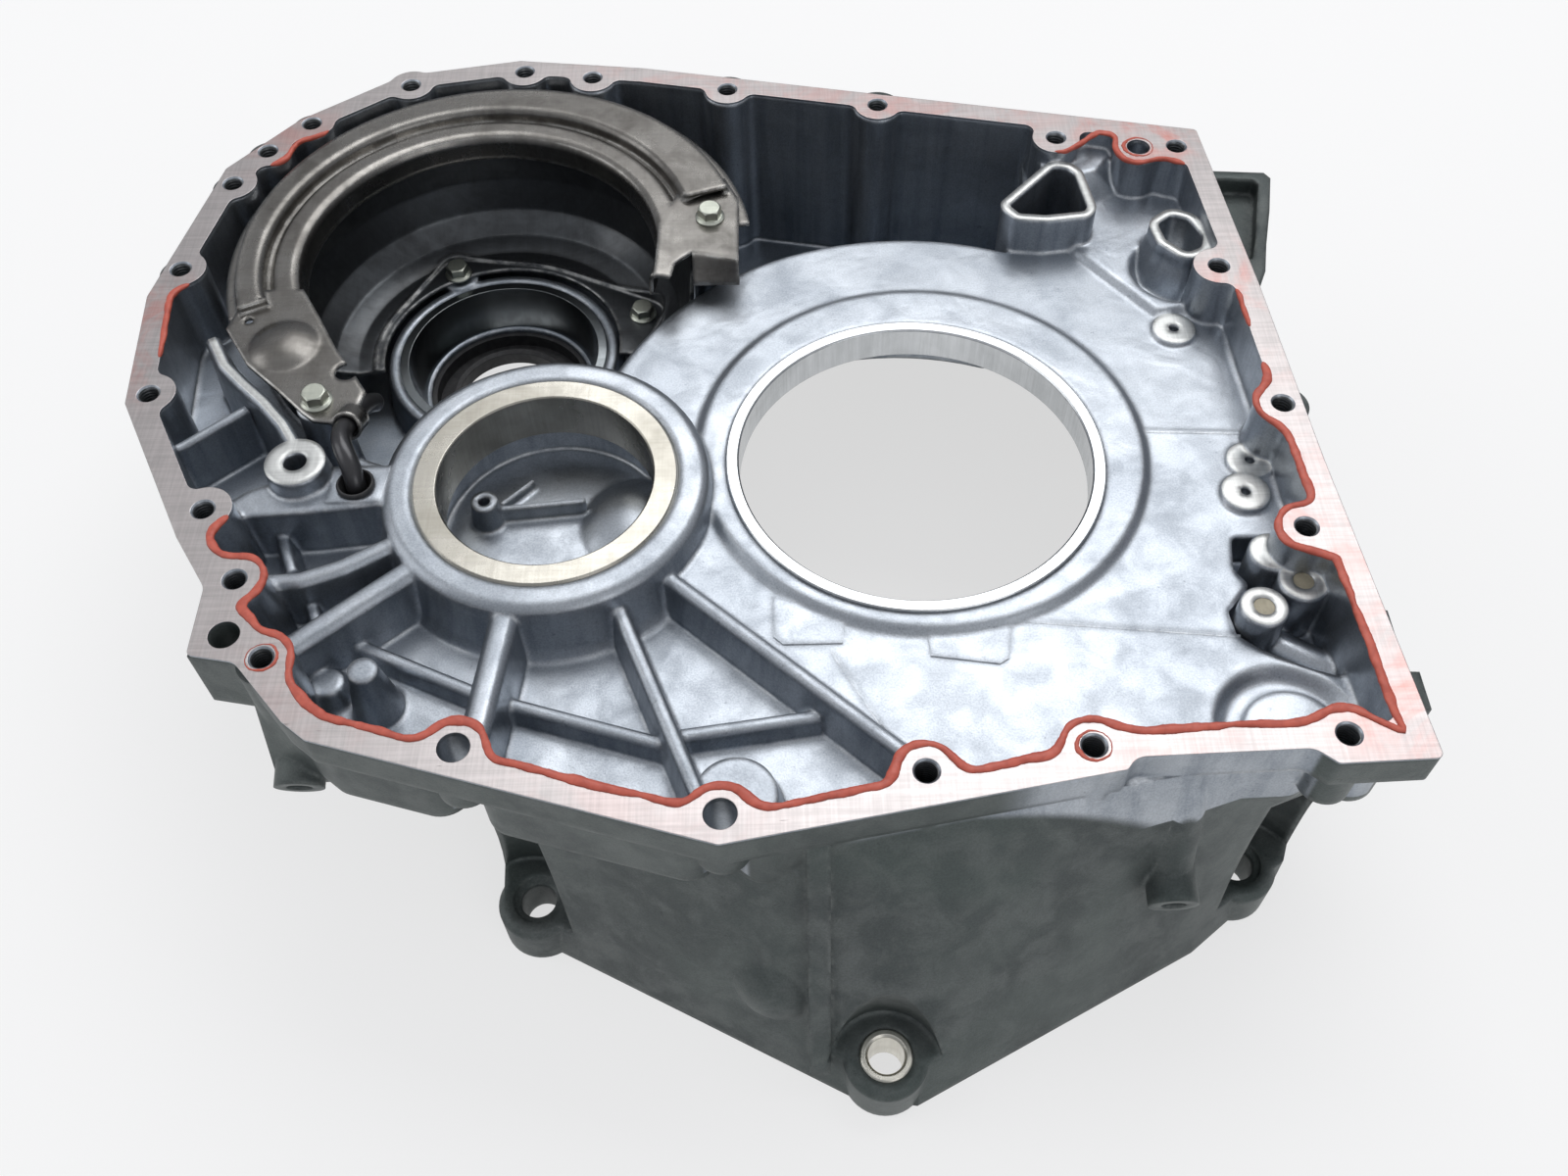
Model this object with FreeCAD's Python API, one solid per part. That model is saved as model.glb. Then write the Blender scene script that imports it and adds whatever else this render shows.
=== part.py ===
import FreeCAD, Part
import math
import os

os.makedirs("parts", exist_ok=True)

V = FreeCAD.Vector

# ---------------------------------------------------------------- driving dimensions (mm)
# Z = 0 is the floor plate around the main bore; the origin lies on the main bore axis.
FLANGE_Z = 20.0           # split flange face
FLANGE_THICK = 13.0
ENGINE_Z = -105.0         # engine face of the bell
WALL = 6.0                # general casting wall
TRI_TOP, D_TOP = 16.0, 14.0   # tops of the two oil tubes
TUBE_WALL = 3.5
RIM = 9.0                 # flange face width between bolt ears
EAR_R = 9.3               # radius of the ear round each flange hole
BLEND = 5.0               # blend where an ear meets the flange edge

PLATE_Z = 0.0             # machined-looking floor plate
PLATE_THICK = 8.0
POCKET_Z = -12.0          # floor of the ribbed pockets
DEEP_Z = -56.0            # floor of the deep oil trough
DISC_R = 117.5            # edge of the floor plate above the deep trough

BORE_R = 61.0             # main bore, inside the steel sleeve
SLEEVE_R = 65.5           # outside of the steel sleeve
SLEEVE_TOP = 3.5
SLEEVE_BOTTOM = -9.0
HUMP_R = 78.5             # raised band round the sleeve, a little off centre
HUMP_X, HUMP_Y = 2.5, 6.0
HUMP_Z = 2.6

LAY_X, LAY_Y = -126.0, -12.0    # layshaft bearing axis
LAY_TOP = 10.5
LAY_RACE_R = 45.0
LAY_RACE_BORE = 36.5
LAY_RACE_LENGTH = 18.5
LAY_BOSS_R = 56.0
LAY_CAVITY_R = 40.5
LAY_CAVITY_Z = -21.0

DIFF_X, DIFF_Y = -158.5, 96.5  # differential bearing axis
DIFF_RIM_Z = -39.5
DIFF_RACE_R = 42.5
DIFF_RACE_BORE = 38.5
DIFF_RACE_SMALL = 34.5
DIFF_RACE_LENGTH = 18.0
DIFF_BOSS_R = 50.0
DIFF_BOTTOM = -74.0
SEAL_R = 33.0
SEAL_BORE = 22.0
SEAL_LENGTH = 8.0

BOLT_HOLE_R = 4.1         # M8 tapped holes and their chamfers
TAP_DEPTHS = (24.0, 23.2, 22.4)   # drilled depths, in turn round the flange
THROUGH_R = 4.9           # bolts that pass right through the flange
FLANGE_DOWEL_R = 4.9
LUG_HOLE_R = 6.2          # bell bolts
LUG_COUNTERBORE_R = 8.6
BUSH_R = 8.7              # dowel bush in the bell
BUSH_BORE = 6.0
LUG_Z = -87.0
LUG_R = 14.0
FOOT_WIDTH = 12.0         # engine flange of the bell
FOOT_THICK = 9.0

SCREW_R = 3.0             # baffle screws
SCREW_FLATS = 8.0
SCREW_HEAD = 5.0
SHEET = 1.5               # baffle sheet thickness
FIT = 0.05                # clearance between a loose piece and its seat

# Flange edge corners, anticlockwise seen from above, starting at the back right.
FLANGE_CORNERS = [
    (121.5, 153), (-100, 201.5), (-152, 208.5), (-200, 200), (-238, 172), (-262, 142),
    (-276, 70), (-271, 17), (-240, -42), (-227, -62), (-227, -87), (-212, -90),
    (-194, -111), (-186, -117.5), (-66, -153.5), (50, -133), (53, -129), (104, -127.5),
    (110, -132.5), (140, -131.5), (132, -20), (128, 65),
]
# Tapped holes round the flange.
TAPPED = [
    (-196, 193.5), (-233, 169.5), (-247.5, 152.5), (-257.5, 133), (-267, 84.5),
    (-264, 21.5), (-234, -30.5), (-218, -59), (-204, -88.5), (-7, -132), (41.5, -125),
    (115, -123), (120, -47.5), (124, 5.5), (115.5, 74), (112, 143), (65.5, 150),
    (-4, 173.5), (-65, 186), (-121, 196), (-149.5, 201),
]
WALL_BUMPS = [(-4, 173.5), (-65, 186), (-121, 196)]    # holes with a bump in the wall below them
THROUGH = [(-142.5, -121), (-65.5, -144)]
FLANGE_DOWELS = [(-217, -80), (97, 143)]

# Bell outline at the engine face and under the flange, corner for corner.
BELL_FOOT = [
    (-147, -123), (-83, -156.5), (-27, -186), (-6, -189), (93.5, -138.5), (128, -112),
    (150, -62), (158, 0), (156, 62), (140, 118), (92, 160), (30, 178), (-40, 176),
    (-94, 142), (-104, 88), (-112, 30), (-124, -30), (-150, -100),
]
BELL_TOP = [
    (-140, -112), (-86, -134), (-38, -141), (8, -139), (72, -128), (120, -116),
    (134, -60), (135, 0), (134, 58), (124, 108), (82, 140), (30, 158), (-36, 160),
    (-88, 134), (-100, 84), (-108, 28), (-120, -30), (-134, -88),
]
LUGS = [(-134, -121), (110, -113)]                     # bell bolts seen at the front
HIDDEN_LUGS = [(156, -30), (147, 98), (62, 178), (-72, 174)]
BUSH = (-16.5, -178)
SCALLOPED = LUGS + HIDDEN_LUGS[:2] + [BUSH]            # lugs with a hollow in the wall above

SCREWS_TOP = [(-71.5, 111), (-206.5, 19.5)]            # hold the upper baffle
SCREWS_LOW = [(-181.5, 142), (-102, 115)]              # hold the bowl baffle
BAFFLE_Z = 15.0
BAFFLE_R = 98.5                                        # outer edge, a little off centre
BAFFLE_SHIFT = 4.5
BAND_R = 80.0                                          # groove between the raised plate and the inner band
BOWL_Z = -38.5
WELL_R = 88.0                                          # deep well round the final drive gear
GALLERY = [(119.5, -60.0), (105.0, -69.5)]             # plugged gallery posts
PLUG_R = 3.4
PLUG_BOTTOM = 2.0
PIPE_X, PIPE_Y = -189.5, -13.5                         # pipe seat in the oil shelf
PIPE_R = 3.4
SHELF_Z = 9.0


# ---------------------------------------------------------------- helpers
def face(points, z=0.0):
    """Flat face inside a closed polygon."""
    ring = [V(x, y, z) for x, y in points]
    return Part.Face(Part.makePolygon(ring + ring[:1]))


def disc(x, y, r, z=0.0):
    """Flat round face."""
    return Part.Face(Part.Wire(Part.makeCircle(r, V(x, y, z))))


def raise_face(flat, z0, z1):
    """Solid between two heights over a face drawn at z = 0."""
    body = flat.copy()
    body.translate(V(0, 0, z0))
    return body.extrude(V(0, 0, z1 - z0))


def prism(points, z0, z1):
    """Upright solid over a polygon."""
    return raise_face(face(points), z0, z1)


def cyl(x, y, r, z0, z1):
    """Upright cylinder."""
    return Part.makeCylinder(r, z1 - z0, V(x, y, z0))


def cone(x, y, r0, r1, z0, z1):
    """Upright cone, r0 at z0."""
    return Part.makeCone(r0, r1, z1 - z0, V(x, y, z0))


def spun(profile, x, y, start=0.0, sweep=360.0):
    """Solid made by turning a closed (r, z) profile about an upright axis."""
    ring = [V(r, 0, z) for r, z in profile]
    flat = Part.Face(Part.makePolygon(ring + ring[:1]))
    body = flat.revolve(V(0, 0, 0), V(0, 0, 1), sweep)
    body.rotate(V(0, 0, 0), V(0, 0, 1), start)
    body.translate(V(x, y, 0))
    return body


def pad(x, y, r, z0, z1, edge=1.0):
    """Cylinder with a chamfered top edge."""
    return spun([(0, z0), (r, z0), (r, z1 - edge), (r - edge, z1), (0, z1)], x, y)


def fuse_all(shapes):
    """Union of several solids."""
    return shapes[0].fuse(shapes[1:]) if len(shapes) > 1 else shapes[0]


def smooth(flat, concave, convex):
    """Round the inward corners of a face by one radius and the outward ones by another."""
    flat = flat.makeOffset2D(concave, 0)
    flat = flat.makeOffset2D(-concave - convex, 0)
    return flat.makeOffset2D(convex, 0)


def biggest(shape):
    """Largest face of a shape."""
    return max(shape.Faces, key=lambda f: f.Area)


def rib(p, q, width, z0, z1, draft=1.5):
    """Straight rib from p to q with leaning sides and a rounded-off top."""
    dx, dy = q[0] - p[0], q[1] - p[1]
    run = math.hypot(dx, dy)
    half, edge = width / 2.0, width / 4.0
    section = [(-half - draft, z0), (half + draft, z0), (half, z1 - edge), (half - edge, z1),
               (edge - half, z1), (-half, z1 - edge)]
    ring = [V(0, s, z) for s, z in section]
    body = Part.Face(Part.makePolygon(ring + ring[:1])).extrude(V(run, 0, 0))
    body.rotate(V(0, 0, 0), V(0, 0, 1), math.degrees(math.atan2(dy, dx)))
    body.translate(V(p[0], p[1], 0))
    return body


def rib_chain(points, width, z0, z1, draft=1.5):
    """Rib that follows several points, joined by round columns."""
    parts = [rib(a, b, width, z0, z1, draft) for a, b in zip(points, points[1:])]
    half = width / 2.0
    parts += [spun([(0, z0), (half + draft, z0), (half, z1 - half / 2), (half / 2, z1), (0, z1)], x, y)
              for x, y in points[1:-1]]
    return fuse_all(parts)


def loft(bottom, z0, top, z1):
    """Solid between two polygons with the same number of corners."""
    rings = []
    for points, z in ((bottom, z0), (top, z1)):
        ring = [V(x, y, z) for x, y in points]
        rings.append(Part.makePolygon(ring + ring[:1]))
    return Part.makeLoft(rings, True, True)


def inset(points, d):
    """Polygon with every side moved inward by d (the outline runs either way round)."""
    area = sum(a[0] * b[1] - b[0] * a[1] for a, b in zip(points, points[1:] + points[:1]))
    side = 1.0 if area > 0 else -1.0
    lines = []
    for a, b in zip(points, points[1:] + points[:1]):
        ux, uy = b[0] - a[0], b[1] - a[1]
        n = math.hypot(ux, uy)
        ux, uy = ux / n, uy / n
        lines.append((a[0] - side * uy * d, a[1] + side * ux * d, ux, uy))
    out = []
    for (x1, y1, u1, v1), (x2, y2, u2, v2) in zip(lines[-1:] + lines[:-1], lines):
        t = ((x2 - x1) * v2 - (y2 - y1) * u2) / (u1 * v2 - v1 * u2)
        out.append((x1 + t * u1, y1 + t * v1))
    return out


# ---------------------------------------------------------------- outlines
def flange_outline():
    """Outer edge of the split flange with an ear round each hole."""
    flat = face(FLANGE_CORNERS)
    for x, y in TAPPED + THROUGH + FLANGE_DOWELS:
        flat = flat.fuse(disc(x, y, EAR_R))
    return smooth(biggest(flat.removeSplitter()), BLEND + 1, 2.0)


def mouth_outline():
    """Inner edge of the split flange."""
    flat = face(FLANGE_CORNERS).makeOffset2D(-RIM, 2)
    for x, y in TAPPED + THROUGH + FLANGE_DOWELS:
        flat = flat.cut(disc(x, y, EAR_R))
    flat = biggest(flat.removeSplitter())
    flat = flat.makeOffset2D(-4.0, 0).makeOffset2D(8.0, 0)
    return flat.makeOffset2D(-4.0, 0)


def deep_outline(mouth):
    """Plan of the deep trough and differential well."""
    reach = face([(58, 190), (54, 142), (43, 120), (40, 108), (0, 60), (-118, -12), (-180, -2), (-202, 2),
                  (-222, 15), (-234, 31), (-252, 54), (-300, 60), (-300, 250), (40, 250)])
    beside = face([(-206, 2), (-180, -2), (-130, 20), (-180, 50), (-222, 30), (-222, 15)])
    flat = mouth.common(reach)
    flat = flat.common(disc(DIFF_X, DIFF_Y, WELL_R).fuse(face([(-120, 0), (70, 0), (70, 250), (-120, 250)])))
    flat = flat.fuse(mouth.common(beside))
    flat = flat.removeSplitter()
    flat = flat.cut(disc(0, 0, DISC_R))
    flat = flat.cut(disc(LAY_X, LAY_Y, LAY_BOSS_R + 2))
    return biggest(flat.removeSplitter())


def pocket_outline(mouth):
    """Plan of the ribbed front-left floor and of the ledge round the differential well."""
    reach = face([(-10, -119), (-85, -49), (-126, -12), (-180, 30), (-232, 60), (-236, 110), (-220, 145),
                  (-190, 165), (-150, 172), (-120, 168), (-120, 250), (-300, 250), (-300, -200), (-5, -200)])
    return biggest(mouth.common(reach))


# ---------------------------------------------------------------- casting
def build_shell():
    """Outer skin of the casting: flange, tub, trough, bell and bearing housings, with the hollows cut."""
    outline, mouth = flange_outline(), mouth_outline()
    deep, pocket = deep_outline(mouth), pocket_outline(mouth)
    floor_bottom = POCKET_Z - WALL

    tub = raise_face(mouth.makeOffset2D(WALL, 0), floor_bottom, FLANGE_Z - FLANGE_THICK)
    trough = raise_face(deep.makeOffset2D(WALL, 0), DEEP_Z - WALL, FLANGE_Z - FLANGE_THICK)
    flange = raise_face(outline, FLANGE_Z - FLANGE_THICK, FLANGE_Z)
    bell = loft(BELL_FOOT, ENGINE_Z, BELL_TOP, FLANGE_Z - FLANGE_THICK)
    axle = cyl(DIFF_X, DIFF_Y, DIFF_BOSS_R, DIFF_BOTTOM, DEEP_Z)
    solid = fuse_all([flange, tub, trough, bell, axle] + lug_pads() + outside_details())
    lay_bottom = cyl(LAY_X, LAY_Y, LAY_CAVITY_R + WALL, LAY_CAVITY_Z - WALL, POCKET_Z)

    # Bell hollow: up to the underside of whichever floor lies above.
    hollow = loft(inset(BELL_FOOT, WALL), ENGINE_Z - 1.0, inset(BELL_TOP, WALL), -PLATE_THICK)
    hollow = hollow.cut(raise_face(pocket.makeOffset2D(WALL, 0), floor_bottom, 0.0))
    hollow = hollow.cut(raise_face(deep.makeOffset2D(WALL, 0), DEEP_Z - WALL, 0.0))
    hollow = hollow.cut(fuse_all([
        lay_bottom,
        cyl(DIFF_X, DIFF_Y, DIFF_BOSS_R, DIFF_BOTTOM, 0.0),
        raise_face(post_pocket_outline(mouth).makeOffset2D(WALL - 1, 0), -20.0, 0.0),
    ]))
    rim = prism(inset(BELL_FOOT, -30.0), ENGINE_Z - 2.0, ENGINE_Z + FOOT_THICK)
    rim = rim.cut(prism(inset(BELL_FOOT, FOOT_WIDTH), ENGINE_Z - 3.0, ENGINE_Z + FOOT_THICK + 1))
    hollow = hollow.cut([rim, scallops(WALL)])
    hollow = hollow.cut([cyl(x, y, LUG_R - 1, ENGINE_Z - 1.0, LUG_Z) for x, y in LUGS + HIDDEN_LUGS + [BUSH]])
    solid = solid.cut([hollow, scallops(0.0)])
    solid = solid.fuse(lay_bottom)

    # Gear compartment.
    solid = solid.cut(raise_face(mouth, PLATE_Z, FLANGE_Z + 1))
    solid = solid.cut(raise_face(pocket, POCKET_Z, PLATE_Z + 1))
    solid = solid.cut(raise_face(deep, DEEP_Z, PLATE_Z + 1))
    return solid, mouth


def scallops(wall):
    """Tapering hollows in the bell wall above the bolt lugs, grown by a wall thickness."""
    parts = []
    for x, y in SCALLOPED:
        away = math.hypot(x, y)
        ux, uy = 4.0 * x / away, 4.0 * y / away
        parts.append(cone(x + ux, y + uy, 19.0 + wall, 9.0 + wall, LUG_Z - wall * 0.5, LUG_Z + 58.0 + wall))
    return fuse_all(parts)


def lug_pads():
    """Bolt lugs at the bell foot, each tied to the wall by a web."""
    parts = []
    for x, y in LUGS + HIDDEN_LUGS + [BUSH]:
        away = math.hypot(x, y)
        ux, uy = x / away, y / away
        web = [(x + LUG_R * uy, y - LUG_R * ux), (x - LUG_R * uy, y + LUG_R * ux),
               (x - 26 * ux - 17 * uy, y - 26 * uy + 17 * ux), (x - 26 * ux + 17 * uy, y - 26 * uy - 17 * ux)]
        parts += [pad(x, y, LUG_R, ENGINE_Z, LUG_Z, 2.0), prism(web, ENGINE_Z, LUG_Z - 4.0)]
    return parts


def post_pocket_outline(mouth):
    """Plan of the small deep pocket round the oil gallery posts."""
    reach = face([(103, -36), (101, -49), (105, -56), (96, -66), (97, -75), (104, -81), (117, -88),
                  (150, -100), (150, -30), (122, -36)])
    return biggest(smooth(biggest(mouth.common(reach)), 3.0, 2.5))


def add_floor_details(solid, mouth):
    """Pockets, pads, tubes, ribs and posts on the compartment floor."""
    solid = solid.cut(raise_face(post_pocket_outline(mouth), -14.0, PLATE_Z + 1))
    # Round recess in the front right corner, with a raised round land inside it.
    dish = spun([(0, -4.0), (18.5, -4.0), (22.5, 0.0), (22.5, 2.0), (0, 2.0)], 106.0, -109.0)
    dish = dish.cut(spun([(0, -5), (16.5, -5), (15, -2.0), (0, -2.0)], 108.0, -110.0))
    solid = solid.cut(dish.common(raise_face(mouth, -5.0, 3.0)))

    rolled = spun([(DISC_R - 4.5, 1.0), (DISC_R + 2, 1.0), (DISC_R + 2, -7.0), (DISC_R - 0.1, -5.0),
                   (DISC_R - 1.5, -1.5)], 0, 0)
    solid = solid.cut(rolled.common(raise_face(deep_outline(mouth).makeOffset2D(5.0, 0), -8.0, 3.0)))

    # Raised ground in the back right corner, hollowed round the D-shaped tube.
    ground = fuse_all([
        loft([(64, 112), (68, 101), (80, 85), (94, 66), (104, 69), (124, 66), (130, 160), (60, 160)], -1.0,
             [(66, 114), (71, 104), (83, 88), (96, 71), (105, 72), (124, 70), (128, 158), (62, 158)], 2.4),
        loft([(58, 126), (78, 126), (92, 134), (102, 148), (102, 170), (54, 170)], -1.0,
             [(60, 138), (75, 136.5), (80.5, 138.5), (86, 146), (88, 170), (56, 170)], 13.0),
    ])
    solid = solid.fuse(ground.common(raise_face(mouth.makeOffset2D(WALL - 1, 0), -2.0, FLANGE_Z)))
    hollow = spun([(0, -5.0), (13.5, -5.0), (16.0, -2.0), (19.0, 3.5), (0, 3.5)], 107.0, 92.0)
    solid = solid.cut(hollow.common(raise_face(mouth, -6.0, 4.0)))

    inner_parts = [
        # raised band round the sleeve
        spun([(0, -4.0), (HUMP_R + 2.5, -4.0), (HUMP_R + 1.0, PLATE_Z), (HUMP_R - 2.0, HUMP_Z),
              (0, HUMP_Z)], HUMP_X, HUMP_Y),
        # layshaft bearing boss
        spun([(LAY_CAVITY_R, POCKET_Z - 1), (LAY_BOSS_R + 5.0, POCKET_Z - 1), (LAY_BOSS_R + 2.0, -8.0),
              (LAY_BOSS_R, 5.0), (LAY_BOSS_R - 1.0, 8.6), (LAY_BOSS_R - 3.6, LAY_TOP),
              (LAY_CAVITY_R, LAY_TOP)], LAY_X, LAY_Y),
        # differential bearing rim
        spun([(DIFF_RACE_R - 1, DEEP_Z - 1), (DIFF_BOSS_R - 1.0, DEEP_Z - 1), (47.0, DIFF_RIM_Z - 2),
              (46.0, DIFF_RIM_Z), (DIFF_RACE_R - 1, DIFF_RIM_Z)], DIFF_X, DIFF_Y),
        # faint pads on the plate
        prism([(-50, -56), (-27, -64), (-28, -75), (-47, -75), (-50, -72)], -1.0, 0.5),
        prism([(-1, -70), (26, -70), (24, -82), (21, -84), (-0.5, -80.5)], -1.0, 0.5),
        rib((27.5, -67.5), (98, -75.5), 1.2, -1.0, 0.4, 0.3), rib((-31.5, -78), (-16, -108), 1.2, -1.0, 0.4, 0.3),
        rib((79, 12), (117, 10), 1.4, -1.0, 0.5, 0.3),
        # gallery posts beside the right wall
        pad(112.0, -48.0, 7.6, -15.0, 8.0, 0.5), pad(119.5, -60.0, 8.0, -15.0, 8.0, 0.5),
        pad(105.0, -69.5, 7.8, -15.0, 8.0, 0.5),
        # round ridge across the post pocket
        tilted_bar((110, -71, -12), (137, -89, -12), 6.5),
        # spot-faced pads
        pad(100.5, 61.0, 8.2, -1.0, 1.6, 0.4), pad(115.5, -3.5, 8.3, -1.0, 1.4, 0.4),
        pad(111.0, -18.0, 8.5, -1.0, 2.2, 0.4),
        # front-left ribs
        rib((-96, -38), (-8, -119), 5.0, POCKET_Z, 3.5, 2.5),
        rib((-104, -50), (-71, -134), 5.0, POCKET_Z, 3.0, 2.0),
        rib((-135, -62), (-141, -114), 9.0, POCKET_Z, 8.0),
        rib((-166, -46), (-206, -80), 8.5, POCKET_Z, 9.0),
        rib_chain([(-172, -34), (-190, -45), (-203, -50), (-222, -51)], 6.5, POCKET_Z, 8.0),
        rib((-186, -67), (-140, -89), 4.5, POCKET_Z, -4.6), rib((-137, -90), (-84, -107), 4.5, POCKET_Z, -4.6),
        rib((-80, -104), (-36, -98), 4.5, POCKET_Z, -4.6),
        rib((-217, -22), (-210, -40), 4.0, POCKET_Z, -2.0), rib((-205, -44), (-196, -66), 4.0, POCKET_Z, -2.0),
        cone(-62.0, -127.0, 15.0, 12.5, POCKET_Z - 1, -1.0),
        cone(-176.0, -88.0, 8.5, 4.6, POCKET_Z - 1, 11.0),
        cone(-192.0, -82.0, 9.0, 5.0, POCKET_Z - 1, -5.0),
        # oil shelf between the flange and the bearing boss
        prism([(-240, -26), (-206, -24), (-178, -21), (-168, -10), (-178, -4), (-202, -4), (-226, -14)],
              POCKET_Z - 1, SHELF_Z),
        prism([(-199, -20.5), (-181, -20.5), (-179, -5), (-198, -5)], SHELF_Z - 1, SHELF_Z + 1),
        # curved wall with a machined top, ending in a tapped boss
        rib_chain([(-250, 52), (-243, 39), (-235, 30), (-226, 21), (-217, 10), (-211, 0)], 5.0,
                  POCKET_Z, 16.0, 2.0),
        spun([(0, POCKET_Z - 1), (13, POCKET_Z - 1), (10.2, 16.0), (0, 16.0)], -209.5, -7.5),
        rib((-262, -1), (-234, 23.5), 3.2, POCKET_Z, 10.0, 1.0),
        # baffle screw posts and bowl screw posts
        cone(SCREWS_TOP[0][0], SCREWS_TOP[0][1], 9.0, 7.0, DEEP_Z - 1, BAFFLE_Z),
        cone(SCREWS_TOP[1][0], SCREWS_TOP[1][1], 10.0, 7.5, DEEP_Z - 1, BAFFLE_Z),
        cone(SCREWS_LOW[0][0], SCREWS_LOW[0][1], 10.0, 8.0, DEEP_Z - 1, BOWL_Z),
        cone(SCREWS_LOW[1][0], SCREWS_LOW[1][1], 10.0, 8.0, DEEP_Z - 1, BOWL_Z),
        # three-cornered breather tube and D-shaped oil tube
        triangular_tube(), d_tube(),
    ]
    inner_parts = [p.common(raise_face(mouth.makeOffset2D(WALL - 1, 0), -80.0, FLANGE_Z)) for p in inner_parts]
    solid = solid.fuse(inner_parts)
    # Wall bumps behind the flange holes, deeper than the ears.
    for x, y in WALL_BUMPS:
        solid = solid.fuse(cone(x, y, EAR_R - 2, EAR_R + 0.5, -24.0, FLANGE_Z - 1))
    for x, y in [(124, 5.5), (120, -47.5), (115.5, 74), (-7, -132), (41.5, -125), (-218, -59), (-234, -30.5)]:
        solid = solid.fuse(cone(x, y, EAR_R + 1.2, EAR_R - 0.3, POCKET_Z, FLANGE_Z - 1))
    return solid


def tilted_bar(p, q, r):
    """Round bar between two points."""
    a, b = V(*p), V(*q)
    return Part.makeCylinder(r, (b - a).Length, a, b - a)


def triangular_tube():
    """Three-cornered upstand."""
    flat = face([(39, 115), (45, 106.5), (57, 105), (74, 107), (77, 112), (74.5, 134), (71, 139), (63, 141.5)])
    return raise_face(flat.makeOffset2D(-5.0, 2).makeOffset2D(5.0, 0), DEEP_Z, TRI_TOP)


def d_tube_outline():
    """Plan of the D-shaped upstand."""
    flat = face([(95.5, 106), (105.5, 114), (114.5, 109.5), (119.2, 97), (116.5, 88.5), (107, 83.5), (97.5, 94)])
    return flat.makeOffset2D(-6.5, 2).makeOffset2D(6.5, 0)


def d_tube():
    """D-shaped upstand with a spreading foot."""
    wires = []
    for grow, z in ((4.5, -6.0), (-0.3, 9.0)):
        wire = d_tube_outline().makeOffset2D(grow, 0).OuterWire
        wire.translate(V(0, 0, z))
        wires.append(wire)
    return raise_face(d_tube_outline(), -6.0, D_TOP).fuse(Part.makeLoft(wires, True, True))


def cut_bores(solid):
    """All bores and holes of the casting."""
    cuts = [
        cyl(0, 0, SLEEVE_R, SLEEVE_BOTTOM, 10.0), cyl(0, 0, BORE_R, -30.0, 0.0),
        cyl(LAY_X, LAY_Y, LAY_RACE_R, LAY_TOP - LAY_RACE_LENGTH, LAY_TOP + 1),
        cone(LAY_X, LAY_Y, LAY_RACE_R, LAY_RACE_R + 0.9, LAY_TOP - 0.9, LAY_TOP),
        cyl(LAY_X, LAY_Y, LAY_CAVITY_R, LAY_CAVITY_Z, LAY_TOP),
        cyl(DIFF_X, DIFF_Y, DIFF_RACE_R, DIFF_RIM_Z - DIFF_RACE_LENGTH, DIFF_RIM_Z + 1),
        cyl(DIFF_X, DIFF_Y, SEAL_R, DIFF_BOTTOM - 1, DIFF_RIM_Z),
    ]
    for i, (x, y) in enumerate(TAPPED):
        cuts.append(cyl(x, y, BOLT_HOLE_R - 0.6, FLANGE_Z - TAP_DEPTHS[i % 3], FLANGE_Z))
        cuts.append(cone(x, y, BOLT_HOLE_R - 0.6, BOLT_HOLE_R, FLANGE_Z - 0.6, FLANGE_Z))
    for x, y in THROUGH:
        cuts.append(cyl(x, y, THROUGH_R, -14.0, FLANGE_Z + 1))
    cuts.append(cyl(FLANGE_DOWELS[0][0], FLANGE_DOWELS[0][1], FLANGE_DOWEL_R, -20.0, FLANGE_Z + 1))
    cuts.append(cyl(FLANGE_DOWELS[1][0], FLANGE_DOWELS[1][1], FLANGE_DOWEL_R - 0.4, 6.0, FLANGE_Z + 1))
    for x, y in LUGS + HIDDEN_LUGS:
        cuts.append(cyl(x, y, LUG_HOLE_R, ENGINE_Z - 1, LUG_Z + 12))
        cuts.append(cyl(x, y, LUG_COUNTERBORE_R, LUG_Z - 1.2, LUG_Z + 12))
    cuts.append(cyl(BUSH[0], BUSH[1], BUSH_R, ENGINE_Z - 1, LUG_Z + 12))
    # Small round oil holes in the floor pads and posts.
    for x, y, r, z0 in [(100.5, 61, 1.9, -10), (115.5, -3.5, 1.8, -10), (111, -18, 1.8, -10),
                        (-209.5, -7.5, 4.0, -8), (PIPE_X, PIPE_Y, 5.0, -8)]:
        cuts.append(cyl(x, y, r, z0, 30.0))
    for x, y in GALLERY:
        cuts.append(cyl(x, y, PLUG_R, PLUG_BOTTOM, 9.0))
    for x, y in SCREWS_TOP:
        cuts.append(cyl(x, y, SCREW_R, BAFFLE_Z - 16, BAFFLE_Z + 1))
    for x, y in SCREWS_LOW:
        cuts.append(cyl(x, y, SCREW_R, BOWL_Z - 12, BOWL_Z + 1))
    tri = face([(39, 115), (45, 106.5), (57, 105), (74, 107), (77, 112), (74.5, 134), (71, 139), (63, 141.5)])
    cuts.append(raise_face(tri.makeOffset2D(-TUBE_WALL - 2.0, 2).makeOffset2D(2.0, 0), -40.0, TRI_TOP + 1))
    cuts.append(raise_face(d_tube_outline().makeOffset2D(-TUBE_WALL, 0), -30.0, D_TOP + 1))
    return solid.cut(cuts)


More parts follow.
